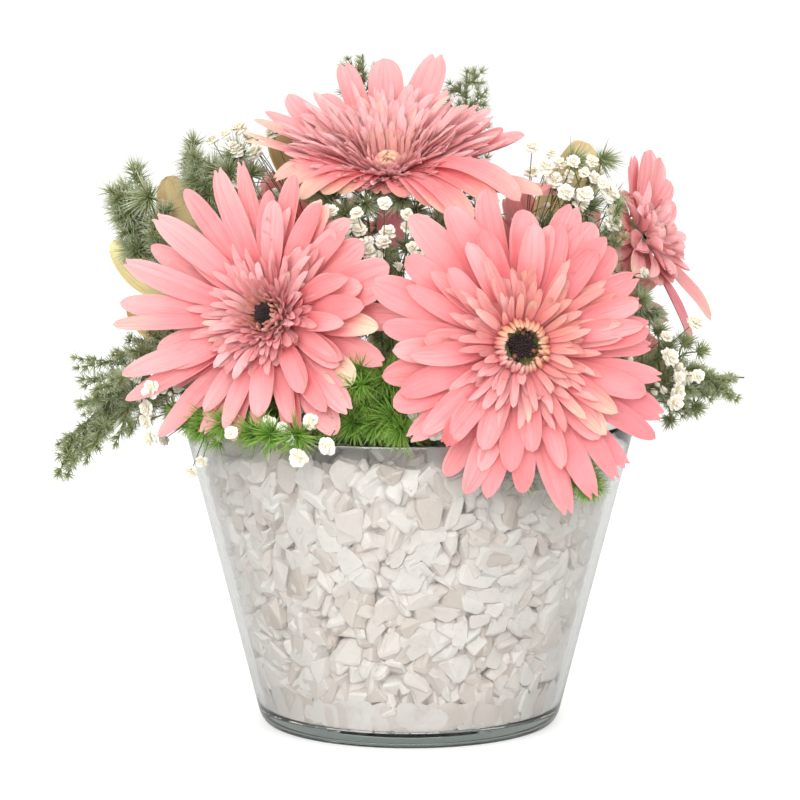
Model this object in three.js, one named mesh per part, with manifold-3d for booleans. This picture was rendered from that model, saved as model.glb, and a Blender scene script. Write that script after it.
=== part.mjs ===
// Gerberas arranged in a conical glass vase of white marble chips.
// Millimetres, +Z up, origin at the middle of the vase's flat base, front towards -Y.
// The stems are pushed into a cylinder of floral foam that stands in the chips.
import * as THREE from "three";
import { mergeVertices } from "three/addons/utils/BufferGeometryUtils.js";
import Module from "manifold-3d";

const wasm = await Module();
wasm.setup();

// ---- Driving dimensions -------------------------------------------------

const VASE = {
  height: 116,
  rimRadius: 85,
  rimRound: 1,
  footRadius: 52, // the flat ring it stands on
  kickRadius: 54.9, // half way round the heel
  kickHeight: 1.6,
  heelRadius: 57.5, // where the rounded heel runs into the straight cone
  heelHeight: 7,
  wall: 2.6,
  floor: 6,
  floorRound: 3,
  sides: 40,
};

// The chips: bottomLayer is their depth under the foam, and lump how uneven their outside is.
const BED = {
  top: 106,
  bottomLayer: 9.5,
  edge: 4,
  fromGlass: 1,
  crown: 1,
  lump: 0.8,
  sides: 36,
  courses: 7,
};
const FOAM = { radius: 40, top: 112, chamfer: 5, sides: 28 };

const GAP = 0.3; // between pieces that touch
const TOUCH = 0.005; // mm3 of overlap that counts as none

const STEMS = {
  inserted: 26, // length inside the foam
  straight: 7, // and how far they go on straight above it
  holeSlack: 0.9, // how much further out a hole's corners are than its stem's
  focusHeight: 12, // in the foam they all point away from this height on the vase's axis
};

// One gerbera: the head is measured along its own axis from the top of the stem.
const STEM = { radius: 2.5, sides: 6, joints: 12, neck: 9 };
const CALYX = { height: 9, radius: 9.5, sides: 12 };
const RAYS = {
  hubRadius: 9.5,
  hubHeight: 1.8,
  hubSides: 12,
  inHub: 1.5, // how far each ray's end lies inside the hub
  perRow: 11,
  rowBases: [0.66, 1.36], // the rows' heights above the hub's underside
  rowRise: 7, // degrees from one row to the next
  rowShortening: 0.05,
  unevenness: 0.04,
  width: 12,
  thick: 1.1,
  droop: 5,
};
const HEART = { above: 2.2, height: 5.5, radius: 7.5, sides: 12, quills: 13 };
const QUILL = { length: 17, width: 3.4, thick: 1.6, rise: 36, fromAxis: 3, above: 2.2 };

// centre is the middle of the disc, facing the way the head looks, reach the petal tips'
// distance from the axis, cup the petals' rise in degrees, exit where the stem leaves the foam.
const GERBERAS = {
  top: { centre: [-8, -8, 213], facing: [-0.03, -0.42, 0.9], reach: 61, cup: 20, exit: [-3, -2] },
  front_right: { centre: [40, -86, 152], facing: [0.15, -0.97, 0.13], reach: 52, cup: 4, exit: [14, -24] },
  front_left: { centre: [-53, -60, 161], facing: [-0.46, -0.84, 0.3], reach: 51, cup: 6, exit: [-19, -19] },
  right: { centre: [94, 22, 184], facing: [0.82, -0.36, 0.42], reach: 46, cup: -8, exit: [26, 5] },
  back_right: { centre: [60, 74, 150], facing: [0.52, 0.82, 0.24], reach: 52, cup: 4, exit: [17, 20] },
  back_left: { centre: [-56, 68, 158], facing: [-0.5, 0.82, 0.28], reach: 53, cup: 5, exit: [-17, 19] },
};

// Fern sprays: exit in the foam's top, via a bend, to the tip; spread is the plume's half width.
const FERNS = {
  left_low: { exit: [-33, -11], via: [-84, -24, 139], tip: [-127, -38, 110], spread: 24 },
  left_high: { exit: [-22, 3], via: [-80, 12, 158], tip: [-107, 18, 200], spread: 20 },
  left_top: { exit: [-29, 11], via: [-66, 24, 172], tip: [-83, 22, 212], spread: 15 },
  crown_left: { exit: [-7, 13], via: [-16, 30, 190], tip: [-18, 44, 250], spread: 14 },
  crown_right: { exit: [9, 12], via: [20, 32, 185], tip: [27, 44, 241], spread: 14 },
  front_middle: { exit: [-4, -35], via: [-10, -58, 128], tip: [-14, -76, 142], spread: 19 },
  front_left: { exit: [-14, -33], via: [-38, -56, 124], tip: [-64, -76, 119], spread: 15 },
  right_high: { exit: [26, -9], via: [58, -18, 152], tip: [76, -8, 190], spread: 19 },
  right_low: { exit: [36, 0], via: [82, -14, 133], tip: [124, -20, 133], spread: 20 },
  front_right: { exit: [9, -36], via: [34, -73, 125], tip: [46, -91, 96], spread: 14 },
  back_middle: { exit: [2, 35], via: [4, 74, 132], tip: [5, 104, 138], spread: 22 },
  back_right: { exit: [27, 24], via: [72, 56, 128], tip: [104, 78, 118], spread: 20 },
  back_left: { exit: [-28, 23], via: [-74, 50, 128], tip: [-104, 72, 112], spread: 20 },
};

// Sprigs of baby's breath: crown is the middle of the blossoms and spread their half width.
const BABYS_BREATH = {
  left_low: { exit: [-28, -22], via: [-66, -56, 128], crown: [-76, -78, 122], spread: 13 },
  front_left: { exit: [-9, -26], via: [-28, -42, 124], crown: [-44, -52, 128], spread: 13 },
  middle: { exit: [-2, -17], via: [-8, -32, 160], crown: [-20, -44, 184], spread: 17 },
  right_high: { exit: [19, -2], via: [44, -6, 168], crown: [60, -10, 202], spread: 19 },
  right_low: { exit: [34, -10], via: [76, -30, 129], crown: [101, -36, 135], spread: 13 },
  front_middle: { exit: [2, -29], via: [6, -66, 123], crown: [7, -80, 118], spread: 13 },
  crown: { exit: [-13, 5], via: [-40, 16, 180], crown: [-62, 20, 216], spread: 15 },
  back: { exit: [9, 27], via: [10, 62, 160], crown: [6, 82, 186], spread: 19 },
  back_low: { exit: [-8, 29], via: [-6, 70, 126], crown: [-14, 92, 122], spread: 15 },
};

// Broad tan leaves: width across the blade, blade its length back from the tip.
const LEAVES = {
  left_upper: { exit: [-32, 19], via: [-74, 40, 166], tip: [-92, 44, 208], width: 22, blade: 52 },
  left_middle: { exit: [-36, 7], via: [-86, 26, 156], tip: [-112, 32, 186], width: 24, blade: 46 },
  left_lower: { exit: [-38, -2], via: [-80, 8, 140], tip: [-112, 16, 160], width: 20, blade: 46 },
  top_left: { exit: [-22, 14], via: [-54, 38, 184], tip: [-73, 44, 220], width: 22, blade: 48 },
  top_back: { exit: [-12, 21], via: [-36, 42, 192], tip: [-54, 44, 229], width: 20, blade: 46 },
  right_upper: { exit: [27, 14], via: [60, 26, 182], tip: [80, 24, 217], width: 24, blade: 54 },
  right_lower: { exit: [37, 9], via: [74, 4, 130], tip: [97, -6, 139], width: 17, blade: 32 },
};

// Sizes that all sprigs of a kind share.
const FERN = { stemRadius: 1, twigRadius: 1.5, joints: 11, bareJoints: 5, taper: 0.13, sweep: 0.8 };
const BREATH = { stemRadius: 0.9, joints: 7, twigRadius: 0.7, blossomRadius: 3.2, blossoms: 6 };
const BREATH_ABOVE_RIM = 5; // blossoms over the vase keep this far above its rim
const BREATH_BELOW_RIM = 9; // and outside it hang no further below
const BREATH_CLEAR_OF_RIM = 6;
const LEAF = { stemRadius: 1.1, thick: 1.2, droop: 4, joints: 7, inBlade: 6 };
const SPRIG_SIDES = 4;

// Bends and swings in degrees, and lifts in mm at 60 mm out, tried in turn to clear other pieces.
const RAY_BENDS = [0, 5, -5, 10, -10, 15, -15, 20, -20, 26, -26, 32, -32, 40, -40, 50, -50, 60, 70, 80];
const SPRIG_SIZES = [1, 0.85, 0.7];
const SPRIG_LIFTS = [0, 4, -4, 8, -8, 12, -12];
const LIFT_REACH = 60;
const SPRIG_SWINGS = [0, 4, -4, 8, -8, 12, -12, 16, -16, 20, -20, 24, -24, 28, -28];

const COLOURS = {
  glass: { color: 0xdfe9e6, roughness: 0.05 },
  chips: { color: 0xe9e4de, roughness: 0.85 },
  foam: { color: 0x4d6349, roughness: 0.95 },
  petal: { color: 0xf8a5aa, roughness: 0.6 },
  heart: { color: 0xf2a183, roughness: 0.7 },
  stem: { color: 0x86a35c, roughness: 0.6 },
  fern: { color: 0x4c7a34, roughness: 0.7 },
  blossom: { color: 0xf5f1e8, roughness: 0.8 },
  tan: { color: 0xb8935c, roughness: 0.75 },
};

// ---- Solids -------------------------------------------------------------

const vec = (numbers) => new THREE.Vector3(...numbers);
const degrees = THREE.MathUtils.degToRad;
const WELD = 1e-4; // points closer than this are one

// A closed geometry as a solid that faces outwards.
function solidOf(geometry) {
  const bare = geometry.index ? geometry : geometry.clone();
  bare.deleteAttribute("normal");
  bare.deleteAttribute("uv");
  const merged = mergeVertices(bare, WELD);
  const numbers = {
    numProp: 3,
    vertProperties: merged.attributes.position.array,
    triVerts: new Uint32Array(merged.index.array),
  };
  const made = new wasm.Manifold(new wasm.Mesh(numbers));
  if (made.volume() > 0) return made;
  numbers.triVerts.reverse();
  return new wasm.Manifold(new wasm.Mesh(numbers));
}

function geometryOf(solid) {
  const mesh = solid.getMesh();
  const geometry = new THREE.BufferGeometry();
  geometry.setAttribute("position", new THREE.BufferAttribute(mesh.vertProperties, 3));
  geometry.setIndex(new THREE.BufferAttribute(mesh.triVerts, 1));
  return geometry;
}

const joined = (solids) => solids.reduce((whole, one) => whole.add(one));

// Lathe about +Z from [radius, height] pairs.
function turned(profile, sides) {
  const points = profile.map(([radius, height]) => new THREE.Vector2(radius, height));
  return new THREE.LatheGeometry(points, sides).rotateX(Math.PI / 2);
}

const curveOf = (line) => new THREE.CatmullRomCurve3(line, false, "centripetal");

// A round rod along a line, with flat ends.
function tube(points, radius, sides, steps) {
  const section = new THREE.Shape();
  for (let i = 0; i < sides; i++) {
    const turn = (2 * Math.PI * i) / sides;
    const [x, y] = [radius * Math.cos(turn), radius * Math.sin(turn)];
    if (i === 0) section.moveTo(x, y);
    else section.lineTo(x, y);
  }
  const extrudePath = curveOf(points);
  return solidOf(new THREE.ExtrudeGeometry(section, { steps, extrudePath, bevelEnabled: false }));
}

// A blade along +X from the origin: a sphere of four meridians drawn out flat at its stations.
function blade({ length, width, thick, lift = 0, stations, grow = 0 }) {
  const meridians = 4;
  const geometry = new THREE.SphereGeometry(1, meridians, stations.length - 1);
  const position = geometry.attributes.position;
  for (let i = 0; i < position.count; i++) {
    const [share, halfWidth, rise] = stations[Math.floor(i / (meridians + 1))];
    const ring = Math.hypot(position.getX(i), position.getZ(i));
    const atEnd = ring < WELD;
    const across = atEnd ? 0 : (position.getX(i) / ring) * (halfWidth * width + grow);
    const up = atEnd ? 0 : (position.getZ(i) / ring) * (thick / 2 + grow);
    position.setXYZ(i, share * (length + grow), across, rise * lift + up);
  }
  return geometry;
}

// Stations: [share of the length, share of the width either side, share of the lift].
const SPINDLE_STATIONS = [[0, 0, 0], [0.5, 0.5, 0], [1, 0, 0]];
const RAY_STATIONS = [[0, 0, 0], [0.3, 0.36, 0.1], [0.84, 0.5, 0.7], [1, 0, 1]];
const LEAF_STATIONS = [
  [0, 0, 0],
  [0.1, 0.22, 0],
  [0.35, 0.48, 0.1],
  [0.65, 0.46, 0.4],
  [0.9, 0.2, 0.8],
  [1, 0, 1],
];

// A slim spindle from one point to another.
function spindle(from, to, radius, grow) {
  const along = to.clone().sub(from);
  const [length, width, thick] = [along.length(), 2 * radius, 2 * radius];
  const shape = blade({ length, width, thick, stations: SPINDLE_STATIONS, grow });
  const turn = new THREE.Quaternion().setFromUnitVectors(new THREE.Vector3(1, 0, 0), along.normalize());
  return solidOf(shape.applyQuaternion(turn).translate(from.x, from.y, from.z));
}

// Repeatable scatter from -1 to 1.
function scatter(seed) {
  const wave = Math.sin(seed * 127.1 + 11.7) * 43758.5453;
  return 2 * (wave - Math.floor(wave)) - 1;
}

// ---- Clearance ----------------------------------------------------------

const placed = new Map(); // name to solid, for everything that stands already

function boxesMeet(a, b) {
  return [0, 1, 2].every((k) => a.min[k] <= b.max[k] && b.min[k] <= a.max[k]);
}

function isClear(solid) {
  const box = solid.boundingBox();
  for (const other of placed.values()) {
    if (boxesMeet(box, other.boundingBox()) && solid.intersect(other).volume() > TOUCH) return false;
  }
  return true;
}

const group = new THREE.Group();

function add(name, colour, solid) {
  const material = new THREE.MeshStandardMaterial({ ...COLOURS[colour], metalness: 0 });
  const mesh = new THREE.Mesh(geometryOf(solid), material);
  mesh.name = name;
  group.add(mesh);
  placed.set(name, solid);
}

// ---- Vase, chips and foam ----------------------------------------------

function innerRadius(z) {
  const rise = (z - VASE.heelHeight) / (VASE.height - VASE.heelHeight);
  return VASE.heelRadius + (VASE.rimRadius - VASE.heelRadius) * rise - VASE.wall;
}

function makeVase() {
  const { height, rimRadius, rimRound, footRadius, kickRadius, kickHeight } = VASE;
  const { heelRadius, heelHeight, wall, floor, floorRound, sides } = VASE;
  const profile = [
    [0, 0],
    [footRadius, 0],
    [kickRadius, kickHeight],
    [heelRadius, heelHeight],
    [rimRadius, height - rimRound],
    [rimRadius - wall / 2, height],
    [rimRadius - wall, height - rimRound],
    [innerRadius(floor + floorRound), floor + floorRound],
    [innerRadius(floor) - floorRound, floor],
    [0, floor],
  ];
  return solidOf(turned(profile, sides));
}

// The chips fill the glass round the foam; the outside is lumpy as loose chips are.
function makeBed() {
  const { top, bottomLayer, edge, fromGlass, crown, lump, sides, courses } = BED;
  const low = VASE.floor + GAP;
  const pocket = FOAM.radius + GAP;
  const profile = [[0, low], [innerRadius(low) - edge, low]];
  for (let i = 0; i <= courses; i++) {
    const z = low + edge + ((top - low - edge) * i) / courses;
    profile.push([innerRadius(z) - fromGlass, z]);
  }
  profile.push([(innerRadius(top) + pocket) / 2, top + crown], [pocket, top]);
  profile.push([pocket, low + bottomLayer], [0, low + bottomLayer]);
  const geometry = turned(profile, sides);
  const position = geometry.attributes.position;
  for (let i = 0; i < position.count; i++) {
    const [x, y, z] = [position.getX(i), position.getY(i), position.getZ(i)];
    const radius = Math.hypot(x, y);
    if (radius < pocket + edge || z < low + edge / 2) continue;
    const dent = lump * (1 - scatter(Math.round(x) + 7 * Math.round(y) + 3 * Math.round(z)));
    position.setXYZ(i, x * (1 - dent / radius), y * (1 - dent / radius), z > top ? z + dent : z);
  }
  return solidOf(geometry);
}

function makeFoam() {
  const { radius, top, chamfer, sides } = FOAM;
  const low = VASE.floor + BED.bottomLayer + 2 * GAP;
  const profile = [[0, low], [radius, low], [radius, top - chamfer], [radius - chamfer, top], [0, top]];
  return solidOf(turned(profile, sides));
}

let foam = makeFoam();

const exitPoint = ([x, y]) => new THREE.Vector3(x, y, FOAM.top);

// The stem's line: pushed into the foam, straight out at exit, then on through the rest.
function stemLine(exit, ...rest) {
  const out = exitPoint(exit);
  const outward = out.clone().sub(new THREE.Vector3(0, 0, STEMS.focusHeight)).normalize();
  const foot = out.clone().addScaledVector(outward, -STEMS.inserted);
  return [foot, out, out.clone().addScaledVector(outward, STEMS.straight), ...rest];
}

// Cuts the hole in the foam that a stem on this line stands in.
function drill([foot, , above], radius, sides) {
  const below = foot.clone().addScaledVector(above.clone().sub(foot).normalize(), -GAP);
  foam = foam.subtract(tube([below, above], radius + STEMS.holeSlack, sides, 1));
}

// ---- Gerberas -----------------------------------------------------------

// Puts a solid made along +Z from the stem's top into the flower's own place.
function headMatrix({ centre, facing }) {
  const axis = vec(facing).normalize();
  const discHeight = CALYX.height + HEART.above + HEART.height;
  const foot = vec(centre).addScaledVector(axis, -discHeight);
  const side = new THREE.Vector3(0, 0, 1).cross(axis).normalize();
  const up = axis.clone().cross(side);
  return new THREE.Matrix4().makeBasis(side, up, axis).setPosition(foot);
}

function makeCalyx(matrix) {
  const { height, radius, sides } = CALYX;
  const profile = [
    [0, 0],
    [radius * 0.35, 0],
    [radius * 0.72, height * 0.3],
    [radius, height * 0.85],
    [radius * 0.8, height],
    [0, height],
  ];
  return solidOf(turned(profile, sides).applyMatrix4(matrix));
}

// One ray petal: clock turns it about the axis and rise lifts it out of the plane.
function makeRay(matrix, { reach, clock, rise, base }, grow) {
  const start = RAYS.hubRadius - RAYS.inHub;
  const size = { length: reach - start, width: RAYS.width, thick: RAYS.thick, lift: -RAYS.droop };
  const ray = blade({ ...size, stations: RAY_STATIONS, grow })
    .rotateY(-rise)
    .translate(start, 0, base)
    .rotateZ(clock);
  return solidOf(ray.applyMatrix4(matrix));
}

// All the ray petals on their hub; a petal that would meet another piece bends until it is clear.
function makeRays(matrix, { reach, cup }, seed) {
  const { hubRadius, hubHeight, hubSides, perRow, rowBases, rowRise, rowShortening, unevenness } = RAYS;
  const low = CALYX.height + GAP;
  const hub = [[0, low], [hubRadius, low], [hubRadius, low + hubHeight], [0, low + hubHeight]];
  const parts = [solidOf(turned(hub, hubSides).applyMatrix4(matrix))];
  rowBases.forEach((above, row) => {
    for (let i = 0; i < perRow; i++) {
      const ray = {
        reach: reach * (1 - rowShortening * row + unevenness * scatter(seed + i + perRow * row)),
        clock: (2 * Math.PI * (i + row / 2)) / perRow,
        base: low + above,
      };
      for (const bend of RAY_BENDS) {
        ray.rise = degrees(cup + rowRise * row + bend);
        if (!isClear(makeRay(matrix, ray, GAP))) continue;
        parts.push(makeRay(matrix, ray, 0));
        break;
      }
    }
  });
  return joined(parts);
}

// The short quill-like petals round the dark disc, and the disc itself.
function makeHeart(matrix, { cup }) {
  const { above, height, radius, sides, quills } = HEART;
  const low = CALYX.height + above + GAP;
  const dome = [
    [0, low],
    [radius, low],
    [radius, low + height * 0.5],
    [radius * 0.6, low + height * 0.95],
    [0, low + height],
  ];
  const parts = [turned(dome, sides)];
  for (let i = 0; i < quills; i++) {
    const quill = blade({ ...QUILL, stations: SPINDLE_STATIONS })
      .rotateY(-degrees(cup + QUILL.rise))
      .translate(QUILL.fromAxis, 0, low + QUILL.above)
      .rotateZ((2 * Math.PI * i) / quills);
    parts.push(quill);
  }
  return joined(parts.map((part) => solidOf(part.applyMatrix4(matrix))));
}

const heads = Object.entries(GERBERAS).map(([place, spec], i) => {
  const matrix = headMatrix(spec);
  const axis = vec(spec.facing).normalize();
  const top = new THREE.Vector3().setFromMatrixPosition(matrix).addScaledVector(axis, -GAP);
  const neck = top.clone().addScaledVector(axis, -STEM.neck);
  return { name: place + "_gerbera_", spec, matrix, seed: 41 * i, line: stemLine(spec.exit, neck, top) };
});

add("glass_vase", "glass", makeVase());
add("pebble_bed", "chips", makeBed());
for (const { name, spec, matrix, line } of heads) {
  drill(line, STEM.radius, STEM.sides);
  add(name + "stem", "stem", tube(line, STEM.radius, STEM.sides, STEM.joints));
  add(name + "calyx", "stem", makeCalyx(matrix));
  add(name + "heart", "heart", makeHeart(matrix, spec));
}
// The rays give way to everything placed before them, so they come after all the stems and hearts.
for (const { name, spec, matrix, seed } of heads) {
  add(name + "petals", "petal", makeRays(matrix, spec, seed));
}

// ---- Sprigs -------------------------------------------------------------

// Swings a sprig round the upright through its exit, lifts it and closes it up a little
// until it is clear of all else, then drills the foam for it and adds it.
function addSprig(name, colour, spec, make, radius) {
  const out = exitPoint(spec.exit);
  const upright = new THREE.Vector3(0, 0, 1);
  for (const size of SPRIG_SIZES) {
    for (const lift of SPRIG_LIFTS) {
      for (const swing of SPRIG_SWINGS) {
        const move = (numbers) => {
          const arm = vec(numbers).sub(out);
          arm.z += (lift * arm.length()) / LIFT_REACH;
          return arm.applyAxisAngle(upright, degrees(swing)).add(out);
        };
        if (!isClear(make(spec, move, size, GAP).solid)) continue;
        const { line, solid } = make(spec, move, size, 0);
        drill(line, radius, SPRIG_SIDES);
        add(name, colour, solid);
        return;
      }
    }
  }
  throw new Error(name + " finds no clear place");
}

// Pairs of twigs leave the plume's stem at the joints of its tube, longest near the middle.
function makeFern(spec, move, size, grow) {
  const { stemRadius, twigRadius, joints, bareJoints, taper, sweep } = FERN;
  const line = stemLine(spec.exit, move(spec.via), move(spec.tip));
  const curve = curveOf(line);
  const parts = [tube(line, stemRadius + grow, SPRIG_SIDES, joints)];
  const middle = (bareJoints + joints) / 2 - 1;
  for (let i = bareJoints; i < joints; i++) {
    const from = curve.getPointAt(i / joints);
    const along = curve.getTangentAt(i / joints);
    const side = along.clone().cross(new THREE.Vector3(0, 0, 1)).normalize();
    const reach = size * spec.spread * (1 - taper * Math.abs(i - middle));
    for (const hand of [0, 1]) {
      const turn = Math.PI * hand + sweep * scatter(i + joints * hand + spec.tip[0]);
      const twig = side.clone().applyAxisAngle(along, turn).addScaledVector(along, sweep);
      const to = from.clone().addScaledVector(twig, reach * sweep);
      parts.push(spindle(from, to, twigRadius, grow));
    }
  }
  return { line, solid: joined(parts) };
}

// Twigs spread from the stem's last joint, each to a blossom near the crown's middle.
function makeBreath(spec, move, size, grow) {
  const { stemRadius, joints, twigRadius, blossomRadius, blossoms } = BREATH;
  const line = stemLine(spec.exit, move(spec.via));
  const fork = curveOf(line).getPointAt(1 - 1 / joints);
  const crown = move(spec.crown);
  const toCrown = crown.clone().sub(fork).normalize();
  const side = new THREE.Vector3(-toCrown.y, toCrown.x, 0).normalize();
  const parts = [tube(line, stemRadius + grow, SPRIG_SIDES, joints)];
  for (let i = 0; i < blossoms; i++) {
    const turn = (4 * Math.PI * i) / blossoms + scatter(i + spec.exit[0]);
    const ring = (size * spec.spread * (i + 1)) / blossoms;
    const at = crown.clone().addScaledVector(side.clone().applyAxisAngle(toCrown, turn), ring);
    const outside = Math.hypot(at.x, at.y) > VASE.rimRadius + BREATH_CLEAR_OF_RIM;
    at.z = Math.max(at.z, VASE.height + (outside ? -BREATH_BELOW_RIM : BREATH_ABOVE_RIM));
    const ball = new THREE.IcosahedronGeometry(blossomRadius + grow, 0);
    parts.push(spindle(fork, at, twigRadius, grow));
    parts.push(solidOf(ball.translate(at.x, at.y, at.z)));
  }
  return { line, solid: joined(parts) };
}

// The blade faces up and out, away from the vase's axis.
function makeLeaf(spec, move, size, grow) {
  const { stemRadius, thick, droop, joints, inBlade } = LEAF;
  const tip = move(spec.tip);
  const along = tip.clone().sub(move(spec.via)).normalize();
  const base = tip.clone().addScaledVector(along, -spec.blade);
  const line = stemLine(spec.exit, base, base.clone().addScaledVector(along, inBlade));
  const side = along.clone().cross(new THREE.Vector3(tip.x, tip.y, 0)).normalize();
  const matrix = new THREE.Matrix4().makeBasis(along, side, side.clone().cross(along));
  const flat = { length: spec.blade, width: size * spec.width, thick, lift: -droop };
  const shape = blade({ ...flat, stations: LEAF_STATIONS, grow });
  const stalk = tube(line, stemRadius + grow, SPRIG_SIDES, joints);
  return { line, solid: stalk.add(solidOf(shape.applyMatrix4(matrix.setPosition(base)))) };
}

for (const [place, spec] of Object.entries(FERNS)) {
  addSprig(place + "_fern", "fern", spec, makeFern, FERN.stemRadius);
}
for (const [place, spec] of Object.entries(LEAVES)) {
  addSprig(place + "_leaf", "tan", spec, makeLeaf, LEAF.stemRadius);
}
for (const [place, spec] of Object.entries(BABYS_BREATH)) {
  addSprig(place + "_babys_breath", "blossom", spec, makeBreath, BREATH.stemRadius);
}

add("floral_foam", "foam", foam);

export default group;
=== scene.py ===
import math

import bmesh
import bpy
import numpy as np
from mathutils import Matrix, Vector


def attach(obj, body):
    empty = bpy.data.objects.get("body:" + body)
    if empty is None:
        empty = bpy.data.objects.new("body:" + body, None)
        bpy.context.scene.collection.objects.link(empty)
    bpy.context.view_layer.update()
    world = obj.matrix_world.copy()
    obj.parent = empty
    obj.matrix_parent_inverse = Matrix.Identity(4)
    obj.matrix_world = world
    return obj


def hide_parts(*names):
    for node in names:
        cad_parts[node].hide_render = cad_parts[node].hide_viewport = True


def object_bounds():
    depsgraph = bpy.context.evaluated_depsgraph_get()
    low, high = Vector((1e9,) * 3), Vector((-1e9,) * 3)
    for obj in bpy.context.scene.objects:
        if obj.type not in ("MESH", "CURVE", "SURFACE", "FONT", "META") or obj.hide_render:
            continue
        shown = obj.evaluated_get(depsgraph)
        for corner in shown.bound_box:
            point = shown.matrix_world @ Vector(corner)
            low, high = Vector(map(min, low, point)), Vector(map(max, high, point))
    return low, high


# Gerberas in a conical glass vase of white marble chips. Metres, +Z up, front towards -Y.
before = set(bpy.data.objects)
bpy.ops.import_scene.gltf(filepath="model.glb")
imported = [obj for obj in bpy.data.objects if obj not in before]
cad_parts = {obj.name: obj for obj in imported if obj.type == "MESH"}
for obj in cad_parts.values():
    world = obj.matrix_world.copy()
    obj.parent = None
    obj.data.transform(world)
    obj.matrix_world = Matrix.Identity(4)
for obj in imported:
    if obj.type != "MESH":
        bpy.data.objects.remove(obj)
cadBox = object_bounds()
mm = 0.001


def rgb(red, green, blue):
    def linear(channel):
        channel /= 255
        return channel / 12.92 if channel <= 0.04045 else ((channel + 0.055) / 1.055) ** 2.4
    return (linear(red), linear(green), linear(blue), 1.0)


def addNode(tree, kind, inputs=None, **settings):
    node = tree.nodes.new(kind)
    for key, value in settings.items():
        setattr(node, key, value)
    for key, value in (inputs or {}).items():
        if isinstance(value, bpy.types.NodeSocket):
            tree.links.new(value, node.inputs[key])
        else:
            node.inputs[key].default_value = value
    return node


def calc(tree, operation, first, second=0.0):
    return addNode(tree, "ShaderNodeMath", {0: first, 1: second}, operation=operation).outputs[0]


def remap(tree, value, low, high, toLow=0.0, toHigh=1.0):
    inputs = {0: value, 1: low, 2: high, 3: toLow, 4: toHigh}
    return addNode(tree, "ShaderNodeMapRange", inputs, interpolation_type="SMOOTHSTEP").outputs[0]


def mixed(tree, factor, first, second):
    inputs = {0: factor, 6: first, 7: second}
    return addNode(tree, "ShaderNodeMix", inputs, data_type="RGBA").outputs[2]


def ramp(tree, factor, stops):
    node = addNode(tree, "ShaderNodeValToRGB", {0: factor})
    elements = node.color_ramp.elements
    while len(elements) < len(stops):
        elements.new(0.5)
    for element, (place, color) in zip(elements, stops):
        element.position = place
        element.color = color
    return node.outputs[0]


def noise(tree, vector, scale, detail=3.0, roughness=0.5):
    inputs = {"Vector": vector, "Scale": scale, "Detail": detail, "Roughness": roughness}
    return addNode(tree, "ShaderNodeTexNoise", inputs).outputs[0]


def stretched(tree, vector, scale):
    return addNode(tree, "ShaderNodeMapping", {"Vector": vector, "Scale": scale}).outputs[0]


def attribute(tree, name, output):
    return addNode(tree, "ShaderNodeAttribute", attribute_name=name).outputs[output]


def parts(tree, vector):
    return addNode(tree, "ShaderNodeSeparateXYZ", {0: vector}).outputs


def objectCoords(tree):
    return addNode(tree, "ShaderNodeTexCoord").outputs["Object"]


def newMaterial(name, **fixed):
    material = bpy.data.materials.new(name)
    material.use_nodes = True
    tree = material.node_tree
    shader = tree.nodes["Principled BSDF"]
    for key, value in fixed.items():
        shader.inputs[key.replace("_", " ")].default_value = value
    return material, tree, shader


def newGroup(name, sockets):
    tree = bpy.data.node_groups.new(name, "ShaderNodeTree")
    for label, way, kind in sockets:
        tree.interface.new_socket(label, in_out=way, socket_type=kind)
    return tree, tree.nodes.new("NodeGroupInput").outputs, tree.nodes.new("NodeGroupOutput").inputs


def times(tree, first, second):
    return calc(tree, "MULTIPLY", first, second)


def useGroup(tree, group, inputs):
    return addNode(tree, "ShaderNodeGroup", inputs, node_tree=group).outputs


def makeGrainGroup():
    # broad uneven tone and fine grain, both 0 to 1, from object coordinates
    tree, given, out = newGroup("surfaceGrain", [
        ("Vector", "INPUT", "NodeSocketVector"),
        ("Broad", "INPUT", "NodeSocketFloat"),
        ("Fine", "INPUT", "NodeSocketFloat"),
        ("Tone", "OUTPUT", "NodeSocketFloat"),
        ("Grain", "OUTPUT", "NodeSocketFloat"),
    ])
    tree.links.new(noise(tree, given["Vector"], given["Broad"], 2.0), out["Tone"])
    tree.links.new(noise(tree, given["Vector"], given["Fine"], 4.0, 0.65), out["Grain"])
    return tree


def makeVeinGroup():
    # lengthwise veins of a petal, a leaf or a stem: Along and Across are its own 0 to 1
    tree, given, out = newGroup("lengthwiseVeins", [
        ("Shape", "INPUT", "NodeSocketVector"),
        ("Count", "INPUT", "NodeSocketFloat"),
        ("Vein", "OUTPUT", "NodeSocketFloat"),
    ])
    along, across, seed = parts(tree, given["Shape"])
    place = addNode(tree, "ShaderNodeCombineXYZ", {
        0: times(tree, along, 1.6),
        1: times(tree, across, given["Count"]),
        2: times(tree, seed, 37.0),
    }).outputs[0]
    tree.links.new(noise(tree, place, 1.0, 3.0, 0.6), out["Vein"])
    return tree


grainGroup = makeGrainGroup()
veinGroup = makeVeinGroup()


def grained(tree, broad, fine):
    return useGroup(tree, grainGroup, {"Vector": objectCoords(tree), "Broad": broad, "Fine": fine})


def veined(tree, shape, count):
    return useGroup(tree, veinGroup, {"Shape": shape, "Count": count})["Vein"]


def startMaterial(name, rough, broad, fine, soft=0.0, softDepth=0.05):
    # soft is the share of light that enters the surface, softDepth how far it goes in metres
    fixed = {"Roughness": rough, "Subsurface_Weight": soft, "Subsurface_Scale": softDepth}
    material, tree, shader = newMaterial(name, **fixed)
    return material, tree, shader, grained(tree, broad, fine)


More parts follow.
